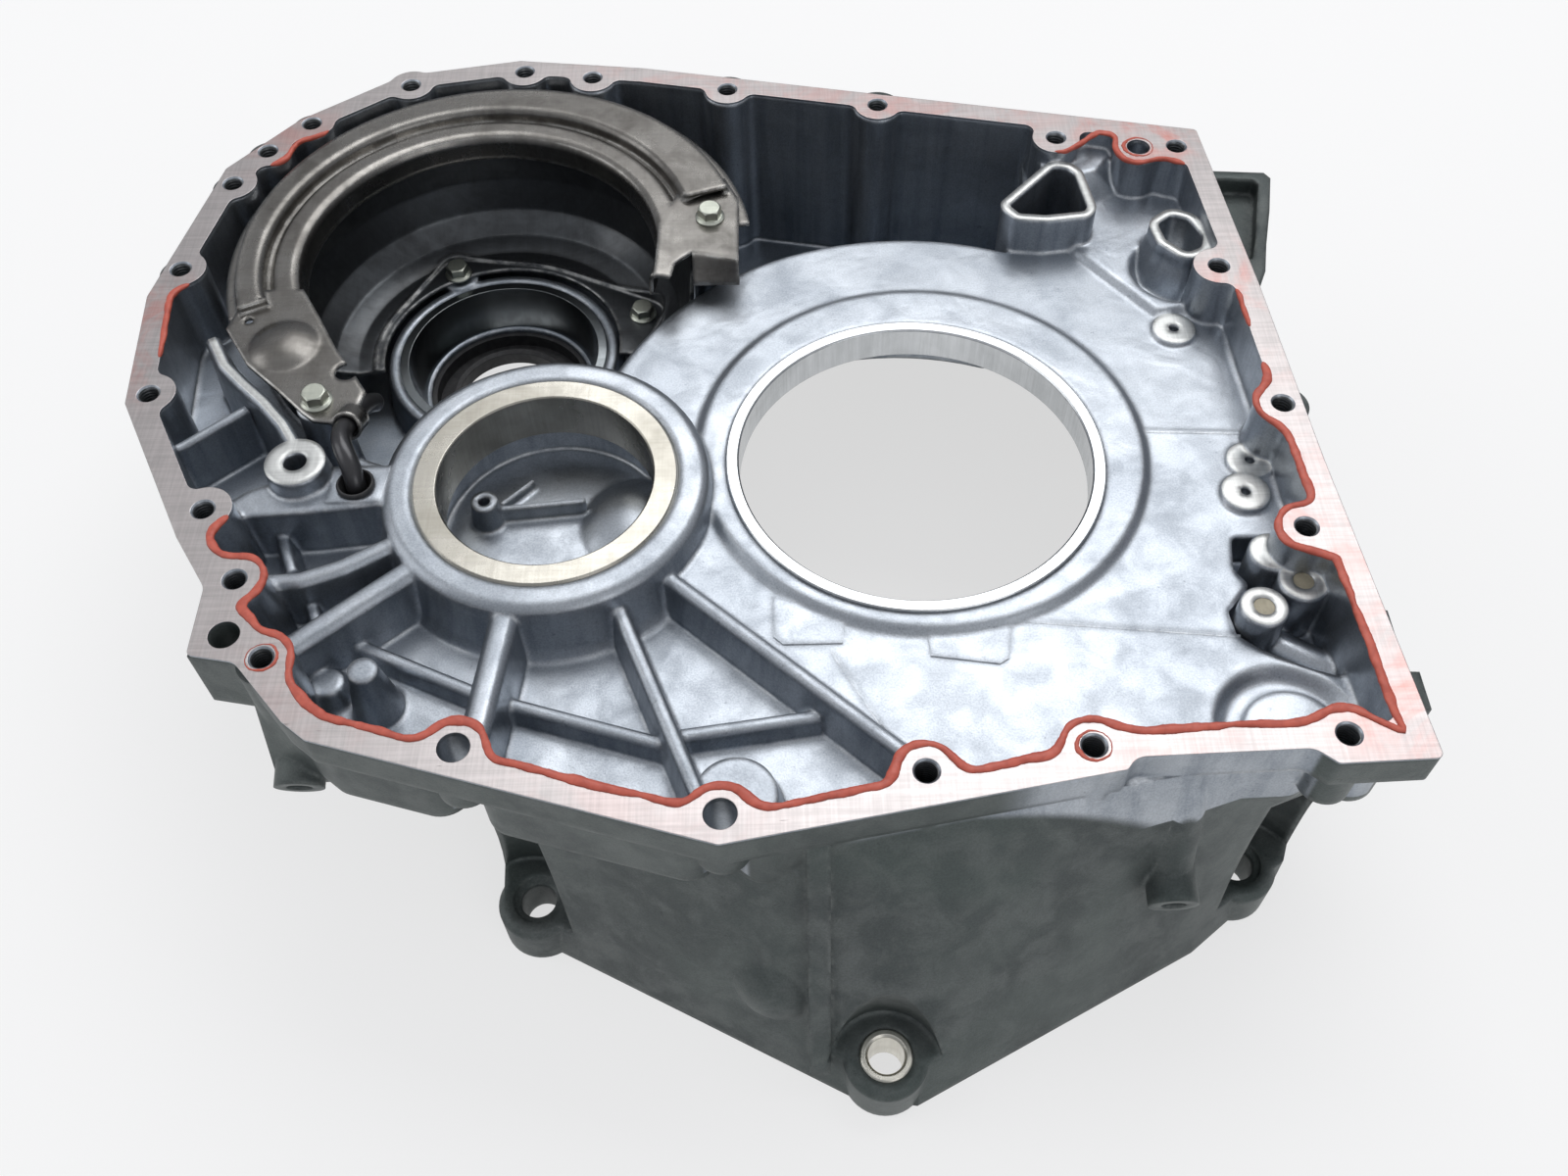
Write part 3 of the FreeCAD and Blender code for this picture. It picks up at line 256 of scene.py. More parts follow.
class Effects:
    """The shared effects, each built once and placed in the materials with its own values."""

    def __init__(self) -> None:
        """Builds all of them."""
        self.worn_edge = self._worn_edge()
        self.cast_skin = self._cast_skin()
        self.stains = self._stains()
        self.tool_marks = self._tool_marks()
        self.runs = self._runs()

    @staticmethod
    def use(graph: Graph, tree: bpy.types.NodeTree, **values: object) -> bpy.types.Node:
        """Places an effect in a material.

        Args:
            graph: The material's graph.
            tree: The effect.
            **values: Its inputs, with _ for a space.

        Returns:
            The group node.
        """
        node = graph.add("ShaderNodeGroup", node_tree=tree)
        for key, value in values.items():
            graph.plug(node.inputs[key.replace("_", " ")], value)
        return node

    @staticmethod
    def _worn_edge() -> bpy.types.NodeTree:
        """Rounded edges: the softened direction, and a mask of how far it leaves the flat one."""
        g, tree, ins, out = group("worn edge", {"Radius": 0.0015, "Wear": 1.0},
                                  {"Normal": VECTOR, "Mask": FLOAT})
        bevel = g.add("ShaderNodeBevel", {"Radius": ins["Radius"]}, samples=8)
        flat = g.add("ShaderNodeNewGeometry").outputs["True Normal"]
        dot = g.add("ShaderNodeVectorMath", {0: bevel.outputs[0], 1: flat}, operation="DOT_PRODUCT").outputs["Value"]
        bend = g.ramp(dot, 0.995, 0.86)
        rub = g.ramp(g.noise(g.place(), 160.0, 4.0, 0.6), 0.36, 0.62)
        g.plug(out.inputs["Normal"], bevel.outputs[0])
        g.plug(out.inputs["Mask"], g.math("MULTIPLY", g.math("MULTIPLY", bend, rub), ins["Wear"], clamp=True))
        return tree

    @staticmethod
    def _cast_skin() -> bpy.types.NodeTree:
        """Die-cast skin: fine sandy grain, soft flow ripples and a few pits."""
        g, tree, ins, out = group("cast skin", {"Grain": 1.0, "Ripple": 1.0}, {"Height": FLOAT, "Shade": FLOAT})
        at = g.place()
        grain = g.noise(at, 1500.0, 3.0, 0.65)
        ripple = g.noise(at, 55.0, 2.0, 0.5, 0.6)
        pits = g.ramp(g.noise(at, 420.0, 2.0, 0.7), 0.24, 0.34, 0.75, 1.0)
        height = g.math("MULTIPLY_ADD", grain, g.math("MULTIPLY", ins["Grain"], 0.35),
                        g.math("MULTIPLY", ripple, g.math("MULTIPLY", ins["Ripple"], 2.2)))
        height = g.math("MULTIPLY_ADD", pits, g.math("MULTIPLY", ins["Grain"], 0.25), height)
        g.plug(out.inputs["Height"], height)
        g.plug(out.inputs["Shade"], g.math("MULTIPLY", g.ramp(grain, 0.3, 0.7, 0.86, 1.1), pits, clamp=False))
        return tree

    @staticmethod
    def _stains() -> bpy.types.NodeTree:
        """Cloudy patches left by oil and wiping: a broad mask and a mottled one."""
        g, tree, ins, out = group("oil stains", {"Size": 1.0, "Seed": 0.0}, {"Broad": FLOAT, "Mottled": FLOAT})
        shift = g.add("ShaderNodeCombineXYZ", {0: ins["Seed"], 1: ins["Seed"], 2: ins["Seed"]}).outputs[0]
        at = g.add("ShaderNodeVectorMath", {0: g.place(), 1: shift}, operation="ADD").outputs[0]
        at = g.add("ShaderNodeVectorMath", {0: at, "Scale": ins["Size"]}, operation="SCALE").outputs[0]
        g.plug(out.inputs["Broad"], g.ramp(g.noise(at, 14.0, 4.0, 0.55, 0.8), 0.38, 0.66))
        g.plug(out.inputs["Mottled"], g.ramp(g.noise(at, 75.0, 5.0, 0.62, 0.4), 0.36, 0.68))
        return tree

    @staticmethod
    def _tool_marks() -> bpy.types.NodeTree:
        """Milling and wiping scratches on a machined face: long thin clouds in two directions."""
        g, tree, ins, out = group("tool marks", {"Depth": 1.0}, {"Height": FLOAT, "Shade": FLOAT})
        at = g.place()
        one = g.noise(g.stretch(at, (25.0, 900.0, 25.0), (0.0, 0.0, 0.5)), 1.0, 3.0, 0.7)
        two = g.noise(g.stretch(at, (1100.0, 40.0, 40.0), (0.0, 0.0, -0.25)), 1.0, 2.0, 0.7)
        both = g.math("ADD", g.math("MULTIPLY", one, 0.6), g.math("MULTIPLY", two, 0.4))
        nick = g.ramp(g.noise(g.stretch(at, (60.0, 420.0, 60.0), (0.0, 0.0, 1.1)), 1.0, 3.0, 0.6), 0.70, 0.76)
        g.plug(out.inputs["Height"], g.math("MULTIPLY", g.math("SUBTRACT", both, nick), ins["Depth"]))
        g.plug(out.inputs["Shade"], g.math("SUBTRACT", g.ramp(both, 0.35, 0.65, 0.88, 1.1),
                                           g.math("MULTIPLY", nick, 0.35)))
        return tree

    @staticmethod
    def _runs() -> bpy.types.NodeTree:
        """Vertical runs of oil and die soldering on steep walls."""
        g, tree, ins, out = group("wall runs", {"Strength": 1.0}, {"Mask": FLOAT})
        runs = g.noise(g.stretch(g.place(), (150.0, 150.0, 9.0)), 1.0, 4.0, 0.6, 0.3)
        steep = g.ramp(g.math("ABSOLUTE", g.normal_z()), 0.35, 0.7, 1.0, 0.0)
        g.plug(out.inputs["Mask"], g.math("MULTIPLY", g.math("MULTIPLY", g.ramp(runs, 0.42, 0.66), steep),
                                          ins["Strength"], clamp=True))
        return tree


def material(name: str) -> tuple[bpy.types.Material, Graph, bpy.types.Node]:
    """Starts a material.

    Args:
        name: Its name.

    Returns:
        The material, its graph and its Principled node.
    """
    made = bpy.data.materials.new(name)
    made.use_nodes = True
    return made, Graph(made.node_tree), made.node_tree.nodes["Principled BSDF"]


# ---------------------------------------------------------------- finishes
@dataclass(frozen=True)
class CastFinish:
    """Aluminium die casting: silvery inside, dull, weathered and darkened with painted shade outside, machined on
    its faces.
    """

    inside: Colour = (0.42, 0.45, 0.49)
    # Bluish dark for the oil stains and runs, and also painted shade deep inside the housing.
    inside_stain_and_shade: Colour = (0.19, 0.22, 0.26)
    # Dark weathered tone of the outer walls, partly painted shade where they face away from the light.
    outside: Colour = (0.080, 0.092, 0.092)
    outside_pale: Colour = (0.21, 0.225, 0.22)
    machined: Colour = (0.50, 0.465, 0.46)
    pad: Colour = (0.60, 0.61, 0.60)
    pink: Colour = (0.62, 0.20, 0.16)
    round_edge: float = 3.4 * MM

    def build(self, effects: Effects, outline: "FlangeOutline") -> bpy.types.Material:
        """Makes the material.

        Zones come from the position and the surface's own direction. A face is machined where it points up
        and lies at one of the machined heights. It is outside where it lies beyond the mouth of the housing,
        where max over the flange edges of (n . p - c) is above a threshold, or low on the bell.

        Args:
            effects: The shared effects.
            outline: The flange's plan, for the line between inside and outside.

        Returns:
            The material.
        """
        made, g, shader = material("cast_aluminium")
        at = g.place()
        in_mm = g.add("ShaderNodeVectorMath", {0: at, "Scale": 1000.0}, operation="SCALE").outputs[0]
        x, y, z = g.split(in_mm)
        up = g.normal_z()

        flat = g.ramp(up, 0.985, 0.998)
        flange = g.math("MULTIPLY", flat, g.band(z, Height.FLANGE.value, 0.3, 0.3))
        tops = g.math("MAXIMUM", g.band(z, Height.CURVED_WALL.value, 0.25, 0.25),
                      g.band(z, Height.D_TUBE.value, 0.18, 0.15))
        for level in (Height.POST, Height.PAD_HIGH, Height.PAD_MID, Height.PAD_LOW):
            low_top = g.math("MULTIPLY", g.band(z, level.value, 0.12, 0.06), g.ramp(x, 91.0, 92.0))
            low_top = g.math("MULTIPLY", low_top, g.ramp(y, 69.4, 69.6, 1.0, 0.0))
            tops = g.math("MAXIMUM", tops, low_top)
        tops = g.math("MULTIPLY", tops, flat)
        machined = g.math("MAXIMUM", flange, tops)

        beyond = self._beyond(g, in_mm, outline)
        side = g.math("MULTIPLY", g.ramp(beyond, -6.6, -5.4), g.ramp(z, 19.2, 19.6, 1.0, 0.0))
        off_well = g.add("ShaderNodeVectorMath", {0: in_mm, 1: (-158.5, 96.5, 0.0)}, operation="SUBTRACT")
        wx, wy, _ = g.split(off_well.outputs[0])
        well = g.math("SQRT", g.math("ADD", g.math("MULTIPLY", wx, wx), g.math("MULTIPLY", wy, wy)))
        bell = g.math("MULTIPLY", g.ramp(z, -15.5, -14.8, 1.0, 0.0), g.ramp(y, -57.0, -55.0, 1.0, 0.0))
        low = g.math("MULTIPLY", g.ramp(z, -24.0, -23.0, 1.0, 0.0), g.ramp(well, 89.0, 91.0))
        low = g.math("MULTIPLY", low, g.ramp(y, 56.0, 60.0, 1.0, 0.0))
        foot = g.math("MULTIPLY", g.ramp(z, -63.0, -61.0, 1.0, 0.0), g.ramp(well, 50.0, 51.0))
        # Faces pointing down also take the dark outside tone, which is partly painted shade.
        under = g.ramp(up, -0.5, -0.35, 1.0, 0.0)
        outside = side
        for mask in (bell, low, foot, under):
            outside = g.math("MAXIMUM", outside, mask)

        skin = effects.use(g, effects.cast_skin, Grain=g.lerp(outside, 0.7, 1.7), Ripple=g.lerp(outside, 0.8, 0.5))
        stain = effects.use(g, effects.stains, Size=1.0, Seed=0.37)
        runs = effects.use(g, effects.runs, Strength=0.75)
        marks = effects.use(g, effects.tool_marks, Depth=0.16)
        radius = g.lerp(g.ramp(z, 19.0, 19.3), self.round_edge, 0.35 * MM)
        edge = effects.use(g, effects.worn_edge, Radius=radius, Wear=1.0)

        # Painted shade: the casting grows darker the deeper it lies below the flange, added to the real stains and
        # runs.
        painted_depth_shade = g.ramp(z, -52.0, -14.0, 1.0, 0.0)
        dark = g.math("MULTIPLY", stain.outputs["Broad"], 0.32)
        dark = g.math("ADD", dark, g.math("MULTIPLY", runs.outputs[0], 0.45))
        dark = g.math("ADD", dark, g.math("MULTIPLY", painted_depth_shade, 0.38))
        dark = g.math("ADD", dark, g.math("MULTIPLY", stain.outputs["Mottled"], 0.16), clamp=True)
        colour = g.mix(dark, self.inside, self.inside_stain_and_shade)
        colour = g.mix(g.math("MULTIPLY", edge.outputs["Mask"], 0.45), colour, (0.74, 0.76, 0.78))
        weather = g.math("MULTIPLY", stain.outputs["Mottled"], 0.42)
        weather = g.math("MAXIMUM", weather, g.math("MULTIPLY", edge.outputs["Mask"], 0.8))
        rough_out = g.mix(weather, self.outside, self.outside_pale)
        green = g.mix(g.math("MULTIPLY", stain.outputs["Broad"], 0.5), rough_out, (0.060, 0.083, 0.076))
        colour = g.mix(outside, colour, green)
        shade = g.add("ShaderNodeCombineColor", {0: skin.outputs["Shade"], 1: skin.outputs["Shade"],
                                                 2: skin.outputs["Shade"]}).outputs[0]
        colour = g.mix(1.0, colour, shade, "MULTIPLY")

        face = g.mix(g.math("MULTIPLY", stain.outputs["Mottled"], 0.3), self.machined, (0.36, 0.34, 0.34))
        line = g.add("ShaderNodeCombineColor", {0: marks.outputs["Shade"], 1: marks.outputs["Shade"],
                                                2: marks.outputs["Shade"]}).outputs[0]
        face = g.mix(1.0, face, line, "MULTIPLY")
        face = g.mix(self._rouge(g, in_mm), face, self.pink)
        face = g.mix(tops, face, g.mix(1.0, self.pad, line, "MULTIPLY"))
        colour = g.mix(machined, colour, face)
        g.plug(shader.inputs["Base Color"], colour)
        g.plug(shader.inputs["Metallic"], g.lerp(outside, g.lerp(machined, 0.92, 0.86), 0.45))

        rough = g.lerp(stain.outputs["Mottled"], 0.28, 0.40)
        rough = g.math("ADD", rough, g.math("MULTIPLY", stain.outputs["Broad"], 0.06))
        rough = g.lerp(outside, rough, g.lerp(stain.outputs["Broad"], 0.62, 0.42))
        g.plug(shader.inputs["Roughness"], g.lerp(machined, rough, 0.36))
        bumps = g.lerp(machined, skin.outputs["Height"], marks.outputs["Height"])
        bump = g.add("ShaderNodeBump", {"Strength": 0.55, "Distance": 0.35 * MM, "Height": bumps,
                                        "Normal": edge.outputs["Normal"]})
        g.plug(shader.inputs["Normal"], bump.outputs[0])
        return made

    @staticmethod
    def _beyond(g: Graph, in_mm: Socket, outline: "FlangeOutline") -> Socket:
        """Distance in mm beyond the flange's plain plan: the largest of the distances from its edges.

        Args:
            g: The material's graph.
            in_mm: Position in mm.
            outline: The flange's plan.

        Returns:
            The distance, negative inside.
        """
        far = None
        for nx, ny, c in outline.hull_edges():
            dot = g.add("ShaderNodeVectorMath", {0: in_mm, 1: (nx, ny, 0.0)}, operation="DOT_PRODUCT")
            one = g.math("SUBTRACT", dot.outputs["Value"], c)
            far = one if far is None else g.math("MAXIMUM", far, one)
        return far

    @staticmethod
    def _rouge(g: Graph, in_mm: Socket) -> Socket:
        """Red film that the old sealant left on the flange, in cloudy patches round a few places.

        Args:
            g: The material's graph.
            in_mm: Position in mm.

        Returns:
            The mask.
        """
        smear = g.ramp(g.noise(g.stretch(in_mm, (0.001, 0.001, 0.001)), 38.0, 5.0, 0.65, 1.0), 0.40, 0.68)
        places = ((134.0, -104.0, 42.0, 0.55), (130.0, 52.0, 46.0, 0.5), (96.0, 150.0, 34.0, 0.75),
                  (20.0, 170.0, 70.0, 0.35), (-272.0, 50.0, 44.0, 0.5), (-240.0, 160.0, 34.0, 0.35),
                  (-60.0, 190.0, 90.0, 0.3), (60.0, -134.0, 40.0, 0.3), (126.0, -40.0, 50.0, 0.35),
                  (-200.0, -105.0, 50.0, 0.12), (-90.0, -140.0, 60.0, 0.10))
        total = None
        for px, py, reach, strength in places:
            gap = g.add("ShaderNodeVectorMath", {0: in_mm, 1: (px, py, 20.0)}, operation="DISTANCE")
            one = g.ramp(gap.outputs["Value"], reach * 0.25, reach, strength, 0.0)
            total = one if total is None else g.math("MAXIMUM", total, one)
        return g.math("MULTIPLY", total, smear, clamp=True)


@dataclass(frozen=True)
class SteelFinish:
    """Bare, pressed or plated steel."""

    name: str
    colour: Colour
    dark: Colour
    rough: float
    rough_stain: float
    stain: float = 0.4
    metallic: float = 1.0
    round_edge: float = 0.4 * MM
    grain: float = 0.05
    coat: float = 0.0
    seed: float = 1.3

    def build(self, effects: Effects) -> bpy.types.Material:
        """Makes the material.

        Args:
            effects: The shared effects.

        Returns:
            The material.
        """
        made, g, shader = material(self.name)
        stain = effects.use(g, effects.stains, Size=1.6, Seed=self.seed)
        marks = effects.use(g, effects.tool_marks, Depth=self.grain)
        edge = effects.use(g, effects.worn_edge, Radius=self.round_edge, Wear=0.7)
        patch = g.math("ADD", g.math("MULTIPLY", stain.outputs["Broad"], self.stain),
                       g.math("MULTIPLY", stain.outputs["Mottled"], self.stain * 0.6), clamp=True)
        colour = g.mix(patch, self.colour, self.dark)
        shade = marks.outputs["Shade"]
        line = g.add("ShaderNodeCombineColor", {0: shade, 1: shade, 2: shade}).outputs[0]
        colour = g.mix(0.6, colour, g.mix(1.0, colour, line, "MULTIPLY"))
        colour = g.mix(g.math("MULTIPLY", edge.outputs["Mask"], 0.5), colour, (0.80, 0.80, 0.78))
        g.plug(shader.inputs["Base Color"], colour)
        g.plug(shader.inputs["Roughness"], g.lerp(patch, self.rough, self.rough_stain))
        shader.inputs["Metallic"].default_value = self.metallic
        shader.inputs["Coat Weight"].default_value = self.coat
        shader.inputs["Coat Roughness"].default_value = 0.12
        bump = g.add("ShaderNodeBump", {"Strength": 0.5, "Distance": 0.25 * MM, "Height": marks.outputs["Height"],
                                        "Normal": edge.outputs["Normal"]})
        g.plug(shader.inputs["Normal"], bump.outputs[0])
        return made


@dataclass(frozen=True)
class SoftFinish:
    """Rubber, resin or sealant."""

    name: str
    colour: Colour
    second: Colour
    rough: float
    lump: float = 0.4
    round_edge: float = 0.5 * MM

    def build(self, effects: Effects) -> bpy.types.Material:
        """Makes the material.

        Args:
            effects: The shared effects.

        Returns:
            The material.
        """
        made, g, shader = material(self.name)
        stain = effects.use(g, effects.stains, Size=4.0, Seed=2.1)
        skin = effects.use(g, effects.cast_skin, Grain=0.5, Ripple=self.lump)
        edge = effects.use(g, effects.worn_edge, Radius=self.round_edge, Wear=0.4)
        colour = g.mix(g.math("MULTIPLY", stain.outputs["Mottled"], 0.75), self.colour, self.second)
        g.plug(shader.inputs["Base Color"], colour)
        g.plug(shader.inputs["Roughness"], g.lerp(stain.outputs["Broad"], self.rough, self.rough + 0.14))
        bump = g.add("ShaderNodeBump", {"Strength": 0.5, "Distance": 0.3 * MM, "Height": skin.outputs["Height"],
                                        "Normal": edge.outputs["Normal"]})
        g.plug(shader.inputs["Normal"], bump.outputs[0])
        return made


class Height(Enum):
    """Heights of the machined faces above the floor plate, in mm."""

    FLANGE = 20.0
    CURVED_WALL = 16.0
    D_TUBE = 14.0
    POST = 8.0
    PAD_HIGH = 2.2
    PAD_MID = 1.6
    PAD_LOW = 1.4


# ---------------------------------------------------------------- plan of the flange
@dataclass
class FlangeOutline:
    """Plan of the split flange: its corners and its holes, in mm."""

    corners: tuple = ((121.5, 153), (-100, 201.5), (-152, 208.5), (-200, 200), (-238, 172), (-262, 142),
                      (-276, 70), (-271, 17), (-240, -42), (-227, -62), (-227, -87), (-212, -90),
                      (-194, -111), (-186, -117.5), (-66, -153.5), (50, -133), (53, -129), (104, -127.5),
                      (110, -132.5), (140, -131.5), (132, -20), (128, 65))
    tapped: tuple = ((-196, 193.5), (-233, 169.5), (-247.5, 152.5), (-257.5, 133), (-267, 84.5),
                     (-264, 21.5), (-234, -30.5), (-218, -59), (-204, -88.5), (-7, -132), (41.5, -125),
                     (115, -123), (120, -47.5), (124, 5.5), (115.5, 74), (112, 143), (65.5, 150),
                     (-4, 173.5), (-65, 186), (-121, 196), (-149.5, 201))
    plain: tuple = ((-142.5, -121), (-65.5, -144), (-217, -80), (97, 143))
    rim: float = 9.0
    ear: float = 9.3
    blend: float = 4.0
    face: float = 20.0

    def hull_edges(self) -> list[tuple[float, float, float]]:
        """Outward direction and offset of each edge of the plan, its dented corners left out.

        Returns:
            (nx, ny, c) for each edge, with n . p = c on it.
        """
        keep = [p for p in self.corners if p not in ((-227, -62), (-212, -90), (-227, -87), (50, -133),
                                                     (53, -129), (110, -132.5), (-194, -111), (104, -127.5))]
        found = []
        for (x0, y0), (x1, y1) in zip(keep, keep[1:] + keep[:1]):
            size = math.hypot(x1 - x0, y1 - y0)
            nx, ny = (y1 - y0) / size, -(x1 - x0) / size
            found.append((nx, ny, nx * x0 + ny * y0))
        return found

    def room(self, at: np.ndarray) -> np.ndarray:
        """How far points lie inside the flange's inner edge.

        It is the smooth least of (distance to the plan's edges - rim) and (distance to each hole - ear):
        min(a, b) - h^2 * k / 4, with h = max(k - |a - b|, 0) / k.

        Args:
            at: Points, one row each.

        Returns:
            Room in mm, negative on the flange face.
        """
        ring = np.array(self.corners, float)
        nxt = np.roll(ring, -1, axis=0)
        run = nxt - ring
        rel = at[:, None, :] - ring[None]
        share = np.clip((rel * run).sum(-1) / (run * run).sum(-1), 0.0, 1.0)
        room = np.linalg.norm(rel - share[..., None] * run, axis=-1).min(1) - self.rim
        for hole in self.tapped + self.plain:
            other = np.linalg.norm(at - np.array(hole, float), axis=-1) - self.ear
            k = self.blend * 1.6
            h = np.clip(k - np.abs(room - other), 0.0, None) / k
            room = np.minimum(room, other) - h * h * k / 4.0
        return room

    def inner_edge(self, count: int, centre: tuple[float, float] = (-70.0, 25.0)) -> np.ndarray:
        """Inner edge of the flange, found along rays from a centre by halving.

        Args:
            count: Number of rays.
            centre: Where the rays start.

        Returns:
            Points in mm, anticlockwise from the right.
        """
        turn = np.linspace(0.0, 2.0 * np.pi, count, endpoint=False)
        way = np.stack([np.cos(turn), np.sin(turn)], 1)
        mid = np.array(centre)
        near, far = np.full(count, 60.0), np.full(count, 290.0)
        steps = np.linspace(60.0, 290.0, 231)
        rooms = np.stack([self.room(mid + way * s) for s in steps])
        hit = np.argmax(rooms < 0.0, axis=0)
        near, far = steps[np.maximum(hit - 1, 0)], steps[hit]
        for _ in range(12):
            half = (near + far) / 2.0
            inside = self.room(mid + way * half[:, None]) > 0.0
            near, far = np.where(inside, half, near), np.where(inside, far, half)
        return mid + way * ((near + far) / 2.0)[:, None]


# ---------------------------------------------------------------- meshes
def make_mesh(name: str, points: np.ndarray, faces: np.ndarray, finish: bpy.types.Material,
              smooth: bool = True) -> bpy.types.Object:
    """Puts arrays into a mesh object at the origin.

    Args:
        name: Name of the piece.
        points: Positions in metres.
        faces: Four corners a row.
        finish: Its material.
        smooth: Whether it is shaded smooth.

    Returns:
        The object.
    """
    mesh = bpy.data.meshes.new(name)
    mesh.from_pydata(points.tolist(), [], faces.tolist())
    mesh.polygons.foreach_set("use_smooth", np.full(len(faces), smooth))
    mesh.materials.append(finish)
    mesh.update()
    made = bpy.data.objects.new(name, mesh)
    bpy.context.collection.objects.link(made)
    return made


def grid_faces(rows: int, columns: int, wrap_rows: bool, wrap_columns: bool, start: int = 0) -> np.ndarray:
    """Faces of a grid of points numbered row by row.

    Args:
        rows: Number of rows.
        columns: Number of points in a row.
        wrap_rows: Whether the last row joins the first.
        wrap_columns: Whether each row closes on itself.
        start: Number of the first point.

    Returns:
        Four corners a row.
    """
    r = np.arange(rows if wrap_rows else rows - 1)[:, None]
    c = np.arange(columns if wrap_columns else columns - 1)[None, :]
    r2, c2 = (r + 1) % rows, (c + 1) % columns
    quads = np.stack([r * columns + c, r * columns + c2, r2 * columns + c2, r2 * columns + c], -1)
    return quads.reshape(-1, 4) + start


def waves(at: np.ndarray, seed: float, size: float) -> np.ndarray:
    """Smooth unevenness: a sum of sines whose lengths share no common measure.

    Args:
        at: Distance along the piece in mm.
        seed: Shifts the pattern.
        size: Longest wave in mm.

    Returns:
        Values between -1 and 1.
    """
    total = np.zeros_like(at)
    for step, (ratio, weight) in enumerate(((1.0, 0.40), (0.517, 0.27), (0.291, 0.18), (0.157, 0.15))):
        total += weight * np.sin(at * 2.0 * np.pi / (size * ratio) + seed * (3.1 + 1.7 * step))
    return total


# ---------------------------------------------------------------- added pieces
@dataclass
class SealantRun:
    """One stretch of old sealant along the inner edge of the flange."""

    name: str
    node: str
    start: float
    end: float
    width: float = 2.6
    seed: float = 0.0


@dataclass
class Sealant:
    """Old red sealant squeezed out along the flange."""

    outline: FlangeOutline
    runs: tuple[SealantRun, ...]
    around: int = 14
    step: float = 0.7

    def bead(self, run: SealantRun, finish: bpy.types.Material) -> bpy.types.Object:
        """Makes one bead.

        The path p(s) is the flange's inner edge. Each section is a rounded hump over the edge:
        q = p + n * (w/2 * cos t + lean) and z = face + h * max(sin t, 0) + d * min(sin t, 0), for t from 0
        to 2 pi, with the width w, the height h and the lean changing along s by waves(s). Both ends draw in
        to a point, w * sqrt(1 - u^2).

        Args:
            run: The stretch.
            finish: Its material.

        Returns:
            The bead.
        """
        edge = self.outline.inner_edge(2400)
        turn = np.degrees(np.arctan2(edge[:, 1] - 25.0, edge[:, 0] + 70.0)) % 360.0
        span = (run.end - run.start) % 360.0
        past = (turn - run.start) % 360.0
        chosen = edge[np.argsort(past)][: int((past <= span).sum())]
        gaps = np.linalg.norm(np.diff(chosen, axis=0), axis=1)
        run_mm = np.concatenate([[0.0], np.cumsum(gaps)])
        count = max(int(run_mm[-1] / self.step), 12)
        s = np.linspace(0.0, run_mm[-1], count)
        path = np.stack([np.interp(s, run_mm, chosen[:, 0]), np.interp(s, run_mm, chosen[:, 1])], 1)
        tangent = np.gradient(path, axis=0)
        tangent /= np.linalg.norm(tangent, axis=1, keepdims=True)
        inward = np.stack([-tangent[:, 1], tangent[:, 0]], 1)

        seed = run.seed
        ends = np.clip(np.minimum(s, s[-1] - s) / 5.0, 0.0, 1.0)
        ends = np.sqrt(1.0 - (1.0 - ends) ** 2) * 0.999 + 0.001
        width = run.width * (1.0 + 0.38 * waves(s, seed, 47.0) + 0.10 * waves(s, seed + 4.0, 6.1)) * ends
        height = 0.75 * (1.0 + 0.45 * waves(s, seed + 1.0, 23.0) + 0.12 * waves(s, seed + 5.0, 4.3)) * ends
        drop = 1.3 * (1.0 + 0.5 * waves(s, seed + 2.0, 31.0)) * ends
        lean = -0.35 + 0.45 * waves(s, seed + 3.0, 61.0)

        t = np.linspace(0.0, 2.0 * np.pi, self.around, endpoint=False)[None, :]
        across = width[:, None] / 2.0 * np.cos(t) + lean[:, None]
        # Below the face the bead hangs only on the open side of the edge.
        below = np.clip(-np.sin(t), 0.0, None)
        across = np.where(below > 0, np.maximum(across, -0.3 + 0.0 * across), across)
        up = height[:, None] * np.clip(np.sin(t), 0.0, None) - drop[:, None] * below
        xy = path[:, None, :] + inward[:, None, :] * across[..., None]
        z = self.outline.face + up
        points = np.concatenate([xy, z[..., None]], -1)
        start, end = points[0].mean(0), points[-1].mean(0)
        flat = np.concatenate([points.reshape(-1, 3), [start], [end]]) * MM
        faces = grid_faces(count, self.around, False, True)
        made = make_mesh(run.name, flat, faces[:, ::-1], finish)
        self._cap(made, count)
        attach(made, "root")
        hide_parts(run.node)
        return made

    def _cap(self, made: bpy.types.Object, count: int) -> None:
        """Closes the two ends of a bead with a fan to a middle point.

        Args:
            made: The bead.
            count: Its number of sections.
        """
        import bmesh

        mesh = bmesh.new()
        mesh.from_mesh(made.data)
        mesh.verts.ensure_lookup_table()
        n = self.around
        first, last = mesh.verts[count * n], mesh.verts[count * n + 1]
        for k in range(n):
            a, b = mesh.verts[k], mesh.verts[(k + 1) % n]
            c, d = mesh.verts[(count - 1) * n + k], mesh.verts[(count - 1) * n + (k + 1) % n]
            mesh.faces.new((a, b, first))
            mesh.faces.new((d, c, last))
        bmesh.ops.recalc_face_normals(mesh, faces=mesh.faces)
        mesh.to_mesh(made.data)
        mesh.free()
        made.data.polygons.foreach_set("use_smooth", np.ones(len(made.data.polygons), bool))


